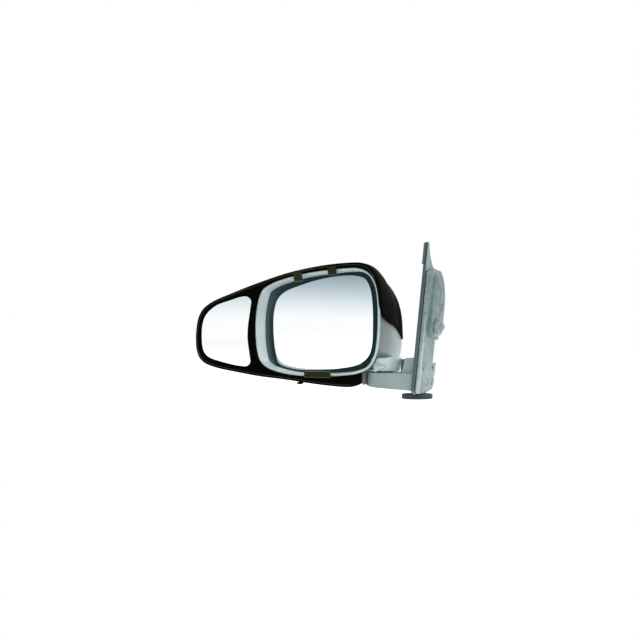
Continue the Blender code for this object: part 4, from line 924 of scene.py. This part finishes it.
# the recess's deep faces round the glass take painted shade
piece("head_bezel_skin", loft(bezel_rings, loop=True), PRIMER_LIT, "mirror_head", ["head_bezel"],
      cuts=[NECK_NOTCH], sharp=38.0, second=PRIMER_SHADE,
      where=lambda p, n: p[1] > -23.9)

FINE_STEPS = (-30.0, -22.0, -8.0, 6.0, 18.0, 30.0, 42.0, 52.0)


def fine_rings(angles, d, y0):
    """The head's skin in many rings, rounding over towards its back."""
    end = HEAD_BACK_Y + d
    ys = [y0] + [y for y in FINE_STEPS if y > y0 + 2] + [CLOSE_Y]
    ys += [CLOSE_Y + (end - CLOSE_Y) * s for s in (0.2, 0.4, 0.58, 0.73, 0.85, 0.93, 0.98, 1.0)]
    return [ring_xz(angles, head_radii(angles, y, d), y) for y in ys]


outer = fine_rings(rim_angles, 0.0, SHELL_Y)
inner = fine_rings(rim_angles, -HEAD_WALL, SHELL_Y)
back_o = (STAR[0], HEAD_BACK_Y, STAR[1])
back_i = (STAR[0], HEAD_BACK_Y - HEAD_WALL, STAR[1])
skirt = []
for z in (-25.0, 3.0):
    arc = [math.radians(180 + 22 * k / 15) for k in range(-15, 16)]
    skirt.append([(41.0 * math.cos(t), 41.0 * math.sin(t), z) for t in arc]
                 + [(35.5 * math.cos(t), 35.5 * math.sin(t), z) for t in reversed(arc)])
# the shell's inside faces and its underside round the neck take the painted-shade inside primer
piece("head_shell_skin", fan_ends(inner[::-1] + outer, back_i, back_o), PRIMER_SHELL_SHADED, "mirror_head",
      ["head_shell"], joins=[loft(skirt)], cuts=[NECK_NOTCH], sharp=38.0,
      second=INSIDE_SHADE_GLOW,
      where=lambda p, n: n[0] * (STAR[0] - p[0]) + n[2] * (STAR[1] - p[2]) + n[1] * (10 - p[1]) > 0
      or (p[2] < 2.0 and math.hypot(p[0], p[1]) < 36.5))

neck_profile = [(19.0, NECK_BASE_Z), (NECK_BASE_R - 0.8, NECK_BASE_Z),
                (NECK_BASE_R - 0.2, NECK_BASE_Z + 0.25), (NECK_BASE_R, NECK_BASE_Z + 0.8),
                (27.7, 5.5), (28.6, 11.0), (29.7, 17.0), (NECK_TOP_R, NECK_TOP_Z - 1.2),
                (NECK_TOP_R - 0.3, NECK_TOP_Z - 0.45), (NECK_TOP_R - 1.2, NECK_TOP_Z),
                (4.0, NECK_TOP_Z), (4.0, NECK_TOP_Z - 2.2), (27.8, NECK_TOP_Z - 2.2),
                (26.0, 12.0), (22.8, NECK_BASE_Z + 2.2), (19.0, NECK_BASE_Z + 2.2)]
half_disc = [(30.9 * math.cos(t), 30.9 * math.sin(t))
             for t in (math.radians(100 + 4 * k) for k in range(41))]
LIP = [(254.0, 17.0), (262.0, 14.6), (272.0, 12.6), (284.0, 11.0), (296.5, 9.6), (286.0, 6.2),
       (276.0, 3.4), (268.0, 1.4), (262.0, 0.2), (254.0, 0.2)]
lip_fine = np.array(open_spline(LIP[:5], 5)[:-1] + open_spline(LIP[4:9], 5) + [LIP[9]])
lip_mid = lip_fine.mean(0)
lip_rings = []
for base, swell, share in ((22.6, 0.0, 1.0), (30.9, 1.5, 1.0), (31.15, 1.7, 0.97),
                           (31.2, 1.8, 0.93)):
    ring = [tuple(lip_mid + (q - lip_mid) * share) for q in lip_fine]
    reach = [base + swell * min(max((a - 262.0) / 10.0, 0.0), 1.0) for a, _ in ring]
    lip_rings.append([(r * math.cos(math.radians(a)), r * math.sin(math.radians(a)), z)
                      for r, (a, z) in zip(reach, ring)])
piece("head_neck_skin", turned(neck_profile, FOLD, "z", 84), PRIMER_LIT, "mirror_head",
      ["head_neck"],
      joins=[prism_z(half_disc, NECK_BASE_Z, NECK_BASE_Z + 2.4), loft(lip_rings)],
      cuts=[box(-60, -14.0, -45, 45, NECK_BASE_Z + 2.4, 40), rod(FOLD, "z", 19.0, -5, 6, 64)])


# ------------------------------------------------------------------ glasses
def lens(outline, y_edge, thick, radius, centre, reach,
         shares=(0.12, 0.25, 0.38, 0.5, 0.62, 0.74, 0.85, 0.93)):
    ring = np.asarray(outline)
    c = np.array(centre)

    def bulge(q):
        return (reach ** 2 - float(np.sum((q - c) ** 2))) / (2 * radius)

    def at(share, extra):
        out = []
        for q in ring:
            w = c + (q - c) * share
            out.append((w[0], y_edge + extra - bulge(w), w[1]))
        return out

    rings = [at(s, 0.0) for s in shares] + [at(0.992, 0.0), at(0.997, 0.1), at(1.0, 0.4),
                                            at(1.0, thick)]
    rings += [at(s, thick) for s in reversed(shares)]
    mid_b = bulge(c)
    return fan_ends(rings, (c[0], y_edge - mid_b, c[1]),
                    (c[0], y_edge + thick - mid_b, c[1]))


glass_ring = spline(GLASS, 160, 16.0)
C_GLASS = (-115.0, 84.0)
# the glass's edge ring and back take painted shade: a dark line round the glass
piece("main_glass_pane", lens(glass_ring, GLASS_Y, GLASS_T, GLASS_RADIUS, C_GLASS, 110.0),
      MAIN_PANE, "main_mirror", ["main_glass"], sharp=30.0, second=PRIMER_SHADE,
      where=lambda p, n: n[1] > -0.99)
ext_n = spline(EXT, 132, 16.0)
EXT_MID = (-298.0, 66.0)
piece("ext_glass_pane", lens(ext_n, EXT_GLASS_Y, 1.8, 2200.0, EXT_MID, 66.0), EXT_PANE,
      "ext_mirror", ["ext_glass"], sharp=30.0, second=BLACK_MATT,
      where=lambda p, n: n[1] > -0.99)

# ------------------------------------------------------------ towing frame
tow_n = spline(TOW, 216, 20.0)
tow_angles = angles_of(tow_n)
tow_r = radii(spline(TOW, None), tow_angles)
front_r = head_radii(tow_angles, RIM_Y, TOW_GAP + TOW_WALL)
spare = np.maximum(tow_r - front_r, 0.0)


def tow_ring(y, d=0.0):
    s = min(max((y - TOW_SEAM_Y) / POD_DEPTH, 0.0), 1.0)
    r = head_radii(tow_angles, y, TOW_GAP + TOW_WALL + d) + spare * (1 - s ** 2.6) ** 0.5
    return ring_xz(tow_angles, r, y)


tow_end = HEAD_BACK_Y + TOW_GAP + TOW_WALL
tow_ys = [TOW_SEAM_Y + 0.3, -30.0, -20.0, -10.0, 0.0, 9.0, 17.0, 23.0, 28.0, 32.0, 34.8, 36.4,
          37.0, 44.0, 54.0, CLOSE_Y]
tow_ys += [CLOSE_Y + (tow_end - CLOSE_Y) * s for s in (0.2, 0.4, 0.58, 0.73, 0.85, 0.93, 0.98, 1.0)]
tow_rings = [tow_ring(TOW_SEAM_Y + 0.3, -0.7)] + [tow_ring(TOW_SEAM_Y + 0.9, -0.1)] \
    + [tow_ring(y) for y in tow_ys[1:]]
tow_solid = loft(tow_rings)
cav_rings = [ring_xz(rim_angles, head_radii(rim_angles, RIM_Y, TOW_GAP), -60.0)]
cav_rings += fine_rings(rim_angles, TOW_GAP, RIM_Y)
head_cavity = loft(cav_rings)
pod_rings = []
for y, share, cx in ((-60.0, 1.0, -298.0), (-36.0, 1.0, -298.0), (-10.0, 0.965, -296.0),
                     (8.0, 0.8, -290.0), (18.0, 0.58, -285.3)):
    wide = offset(ext_n, EXT_GAP + 1.0)
    pod_rings.append([(cx + (x - EXT_MID[0]) * share, y, EXT_MID[1] + (z - EXT_MID[1]) * share)
                      for x, z in wide])
pod_cavity = loft(pod_rings)
CUT_CURVE = [(-70.0, 127.0), (-47.0, 124.0), (-42.0, 115.0), (-32.0, 102.0), (-19.0, 95.0),
             (-6.5, 90.0), (10.5, 84.5), (28.6, 79.0), (43.5, 72.0), (56.0, 63.0),
             (70.0, 54.0), (110.0, 46.0)]


CUT_FINE = open_spline(CUT_CURVE, 4)


def cut_block():
    rows = []
    shares = [(BAND_END_X, 0.0), (-43.5, 0.32), (-37.0, 0.62), (-27.0, 0.86), (-14.0, 0.97),
              (0.0, 1.0), (40.0, 1.0)]
    xs = np.concatenate([np.linspace(a[0], b[0], 4)[:-1] for a, b in zip(shares, shares[1:])]
                        + [[shares[-1][0]]])
    for x in xs:
        share = float(np.interp(x, [s[0] for s in shares], [s[1] for s in shares]))
        top = [(x, y, -60.0 + (z + 60.0) * (0.25 + 0.75 * share)) for y, z in CUT_FINE]
        rows.append(top + [(x, y, -62.0) for y, _ in reversed(CUT_FINE)])
    return loft(rows)


TOW_SCREWS = [(-351.6, 62.0), (-239.0, 146.0), (-262.0, -2.0), (-66.0, -19.5)]
pockets = [rod((x, 0, z), "y", 3.0, -27.0, 120, 32) for x, z in TOW_SCREWS]
holes_back = [rod((x, 0, z), "y", 1.75, -45, -20, 20) for x, z in TOW_SCREWS]
piece("tow_back_shell_skin", tow_solid, BLACK, "tow_frame", ["tow_back_shell"],
      cuts=[head_cavity, pod_cavity, cut_block()] + pockets + holes_back, sharp=36.0)

face_profile = [(TOW_SEAM_Y, 0.0), (TOW_FRONT_Y + 1.9, 0.0), (TOW_FRONT_Y + 1.1, -0.14),
                (TOW_FRONT_Y + 0.5, -0.5), (TOW_FRONT_Y + 0.14, -1.1), (TOW_FRONT_Y, -1.9),
                (TOW_FRONT_Y, -3.1), (TOW_FRONT_Y + 0.35, -3.5), (TOW_FRONT_Y + 0.35, -4.1),
                (TOW_FRONT_Y, -4.5)]
face = [[(x, y, z) for x, z in offset(tow_n, d)] for y, d in face_profile]
rim_hole = loft([[(x, y, z) for x, z in offset(rim_n, d)] for y, d in
                 ((-60, TOW_GAP + 1.6), (TOW_FRONT_Y - 0.1, TOW_GAP + 1.6),
                  (TOW_FRONT_Y + 0.4, TOW_GAP + 0.7), (TOW_FRONT_Y + 1.2, TOW_GAP + 0.15),
                  (TOW_FRONT_Y + 2.0, TOW_GAP), (-20, TOW_GAP))])
ext_hole = loft([[(x, y, z) for x, z in offset(ext_n, d)] for y, d in
                 ((-60, EXT_GAP + 2.2), (TOW_FRONT_Y - 0.1, EXT_GAP + 2.0),
                  (TOW_FRONT_Y + 0.4, EXT_GAP + 0.9), (TOW_FRONT_Y + 1.2, EXT_GAP + 0.2),
                  (TOW_FRONT_Y + 2.0, EXT_GAP), (-20, EXT_GAP))])
CLIPS = {
    "clip_top_outer": ((-150.5, 168.6), 8.2, 8.4, 8.2, 13.0, 1, "top_outer_clip"),
    "clip_top_inner": ((-82.6, 181.8), 8.4, 8.6, 8.0, 7.5, 1, "top_inner_clip"),
    "clip_bottom": ((-112.0, -5.6), 26.0, 4.2, 7.0, 0.4, -1, "bottom_clip"),
}


def clip_solid(spec):
    """A U-shaped spring clip with rounded shoulders; its two pressed grooves are cut where the clip is
    placed.
    """
    (cx, cz), half, reach_in, reach_out, slope, side, _ = spec
    outer_pts = corner_rounded([(-reach_in, CLIP_LEG_Y), (-reach_in, -49.5), (reach_out, -49.5),
                                (reach_out, -39.0)][::1] + [(reach_out - 1.5, -39.0),
                                (reach_out - 1.5, TOW_FRONT_Y - 0.3),
                                (-reach_in + 1.5, TOW_FRONT_Y - 0.3),
                                (-reach_in + 1.5, CLIP_LEG_Y)],
                               1.1, 4)
    rings = []
    for x, d in ((cx - half, -0.45), (cx - half + 0.15, -0.15), (cx - half + 0.45, 0.0),
                 (cx + half - 0.45, 0.0), (cx + half - 0.15, -0.15), (cx + half, -0.45)):
        ring = np.array(outer_pts)
        ring = ring if area(ring) > 0 else ring[::-1]
        rings.append([(x, y, cz + side * a) for a, y in offset(ring, d)])
    return tilt_y(loft(rings), (cx, 0, cz), slope)


def clip_slot(spec, gap=0.35):
    (cx, cz), half, _, reach_out, slope, side, _ = spec
    z0, z1 = sorted((cz + side * (reach_out - 1.5 - gap), cz + side * (reach_out + gap)))
    return tilt_y(box(cx - half - gap, cx + half + gap, -60, -30, z0, z1), (cx, 0, cz), slope)


LOCK = (-149.5, -42.5)
tow_outline = spline(TOW, None)


def bead_highlight(p, n):
    """The moulded bead round the front face, a little inside its outer edge, in a lighter, glossier
    black: a painted highlight line.
    """
    if not TOW_FRONT_Y - 0.2 < p[1] < TOW_FRONT_Y + 0.5 or n[1] > -0.3:
        return False
    gap = np.min(np.hypot(tow_outline[:, 0] - p[0], tow_outline[:, 1] - p[2]))
    return 2.7 < gap < 4.7


piece("tow_front_frame_skin", loft(face), BLACK, "tow_frame", ["tow_front_frame"],
      cuts=[rim_hole, ext_hole, cut_block()] + [clip_slot(s) for s in CLIPS.values()]
      + [rod((LOCK[0], LOCK[1], 0), "z", 2.3, -40, -13.5, 24)]
      + [rod((x, 0, z), "y", 1.75, -43.5, -30, 20) for x, z in TOW_SCREWS], sharp=36.0,
      second=BLACK_HIGHLIGHT, where=bead_highlight)
for name, spec in CLIPS.items():
    (cx, cz), half, reach_in, reach_out, slope, side, body = spec
    grooves = []
    for a in ((-reach_in + reach_out) / 2 - 2.2, (-reach_in + reach_out) / 2 + 2.2):
        mid_z = cz + side * a
        grooves.append(tilt_y(prism_z(rounded(cx - half + 2.0, cx + half - 2.0, -51.0, -49.1, 0.5),
                                      mid_z - 0.45, mid_z + 0.45), (cx, 0, cz), slope))
    low_edge = cz + side * (-reach_in if side > 0 else reach_out)
    # the clip's lower front edge is painted lighter olive: a painted highlight
    clip = piece(f"{name}_moulded", clip_solid(spec), OLIVE, body, [name],
                 cuts=grooves, second=OLIVE_HIGHLIGHT,
                 where=lambda p, n, z=low_edge, s=math.tan(math.radians(slope)), c=cx:
                 n[1] < -0.2 and n[2] < -0.05 and abs(p[2] - z - (p[0] - c) * s) < 1.6)
    clip.visible_glossy = False
piece("lock_screw_turned", turned([(0, -25.0), (1.4, -25.0), (1.8, -25.4), (2.8, -25.4),
                                   (4.4, -25.0), (5.6, -24.2), (6.2, -23.2), (6.4, -22.2),
                                   (6.1, -21.9), (2.0, -21.9), (2.0, -14.2), (0, -14.2)],
                                  (LOCK[0], LOCK[1], 0), "z", 40), BLACK, "tow_frame",
      ["lock_screw"])

# -------------------------------------------------- CAD nodes kept as built
KEPT = {
    "sail_gasket": RUBBER, "arm_casting": ALUMINIUM, "pad_bolt": ZINC, "pivot_bush": NYLON,
    "detent_ring_lower": STEEL, "detent_ring_upper": STEEL, "fold_spring": STEEL,
    "spring_retainer": STEEL, "pivot_post": STEEL, "connector_shroud": PRIMER,
    "head_frame": ALUMINIUM, "actuator_case": BLACK_MATT, "actuator_cover": BLACK_MATT,
    "motor_pan": STEEL, "motor_tilt": STEEL, "gimbal_ring": NYLON, "glass_holder": BLACK_MATT,
    "glass_heater_pad": FOAM, "jackscrew_pan": NYLON, "jackscrew_tilt": NYLON,
    "jack_gear_pan": NYLON, "jack_gear_tilt": NYLON, "ext_pivot_base": BLACK_MATT,
    "ext_cross": STEEL, "ext_glass_holder": BLACK_MATT,
}
for stem, count, mat in (("thread_insert", 3, COATED), ("bracket_screw", 2, PRIMER_CAST),
                         ("actuator_screw", 3, ZINC), ("tow_screw", 4, ZINC)):
    for k in range(count):
        KEPT[f"{stem}_{k + 1}"] = mat
for name, mat in KEPT.items():
    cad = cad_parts[name]
    cad.data.materials.clear()
    cad.data.materials.append(mat)

# ------------------------------------------------------------------- studio
low_z = float(CAD_LOW[2])
floor_mesh = bpy.data.meshes.new("floor")
rings = [[(r * math.cos(2 * math.pi * k / 96) - 0.2, r * math.sin(2 * math.pi * k / 96),
           low_z - 0.0005) for k in range(96)] for r in (0.3, 2.2)]
floor_mesh.from_pydata(rings[0] + rings[1], [], [tuple(range(96))] + [
    (k, 96 + k, 96 + (k + 1) % 96, (k + 1) % 96) for k in range(96)])
floor = bpy.data.objects.new("floor", floor_mesh)
bpy.context.scene.collection.objects.link(floor)
floor_mat, tree, shader = new_material("floor_paper", (0.6, 0.6, 0.6), 0.0, 0.9)
shader.inputs["Specular IOR Level"].default_value = 0.05
shader.inputs["Emission Color"].default_value = (1.0, 1.0, 1.0, 1.0)
shader.inputs["Emission Strength"].default_value = 0.84
at = coords_of(tree)
grain = noise(tree, at, 6.0, 3.0, 0.5)
tree.links.new(ramp(tree, grain, [(0.3, (0.58, 0.58, 0.58)), (0.7, (0.61, 0.61, 0.61))]),
               shader.inputs["Base Color"])
place = node(tree, "ShaderNodeVectorMath")
place.operation = "SUBTRACT"
place.inputs[1].default_value = (-0.2, 0.0, low_z)
tree.links.new(at, place.inputs[0])
away = node(tree, "ShaderNodeVectorMath")
away.operation = "LENGTH"
tree.links.new(place.outputs[0], away.inputs[0])
fade = node(tree, "ShaderNodeMapRange")
fade.interpolation_type = "SMOOTHSTEP"
fade.inputs["From Min"].default_value = 0.35
fade.inputs["From Max"].default_value = 1.5
fade.inputs["To Min"].default_value = 1.0
fade.inputs["To Max"].default_value = 0.0
tree.links.new(away.outputs["Value"], fade.inputs["Value"])
tree.links.new(fade.outputs["Result"], shader.inputs["Alpha"])
floor_mesh.materials.append(floor_mat)

world = bpy.data.worlds.new("studio")
bpy.context.scene.world = world
world.use_nodes = True
wt = world.node_tree
background = wt.nodes["Background"]
background.inputs["Color"].default_value = (1.0, 1.0, 1.0, 1.0)
background.inputs["Strength"].default_value = 0.30
out = wt.nodes["World Output"]
clean = wt.nodes.new("ShaderNodeBackground")
clean.inputs["Color"].default_value = (1.0, 1.0, 1.0, 1.0)
clean.inputs["Strength"].default_value = 1.0
path = wt.nodes.new("ShaderNodeLightPath")
choose = wt.nodes.new("ShaderNodeMixShader")
either = wt.nodes.new("ShaderNodeMath")
either.operation = "MAXIMUM"
wt.links.new(path.outputs["Is Camera Ray"], either.inputs[0])
wt.links.new(path.outputs["Is Glossy Ray"], either.inputs[1])
wt.links.new(either.outputs[0], choose.inputs["Fac"])
wt.links.new(background.outputs[0], choose.inputs[1])
wt.links.new(clean.outputs[0], choose.inputs[2])
wt.links.new(choose.outputs[0], out.inputs["Surface"])


def softbox(name, at, towards, width, height, power, colour=(1.0, 1.0, 1.0)):
    data = bpy.data.lights.new(name, "AREA")
    data.shape = "RECTANGLE"
    data.size, data.size_y = width, height
    data.energy = power
    data.color = colour
    obj = bpy.data.objects.new(name, data)
    obj.location = at
    obj.rotation_euler = (Vector(towards) - Vector(at)).to_track_quat("-Z", "Y").to_euler()
    bpy.context.scene.collection.objects.link(obj)
    return obj


TARGET = Vector((-0.2029, -0.0191, 0.0337))
softbox("key_right", (1.5, -2.0, 1.4), TARGET, 1.2, 1.2, 50.0)
for light in (softbox("fill_left", (-1.9, -1.5, 0.9), TARGET, 1.2, 1.2, 7.0),
              softbox("top", (0.0, 0.1, 2.2), TARGET, 2.0, 1.6, 34.0),
              softbox("back", (0.7, 2.1, 1.0), TARGET, 1.4, 1.2, 46.0)):
    light.visible_glossy = False

bpy.context.scene.view_settings.view_transform = "Standard"
camera_data = bpy.data.cameras.new("camera")
camera_data.sensor_width = 36.0
camera_data.lens = 36.0 * 10.0 / 1.152
camera_data.clip_end = 60.0
camera_data.dof.use_dof = False
camera = bpy.data.objects.new("camera", camera_data)
bpy.context.scene.collection.objects.link(camera)
camera.location = TARGET + 10.0 * Vector((0.4220, -0.9051, 0.0523)).normalized()
camera.rotation_euler = (TARGET - camera.location).to_track_quat("-Z", "Y").to_euler()
bpy.context.scene.camera = camera
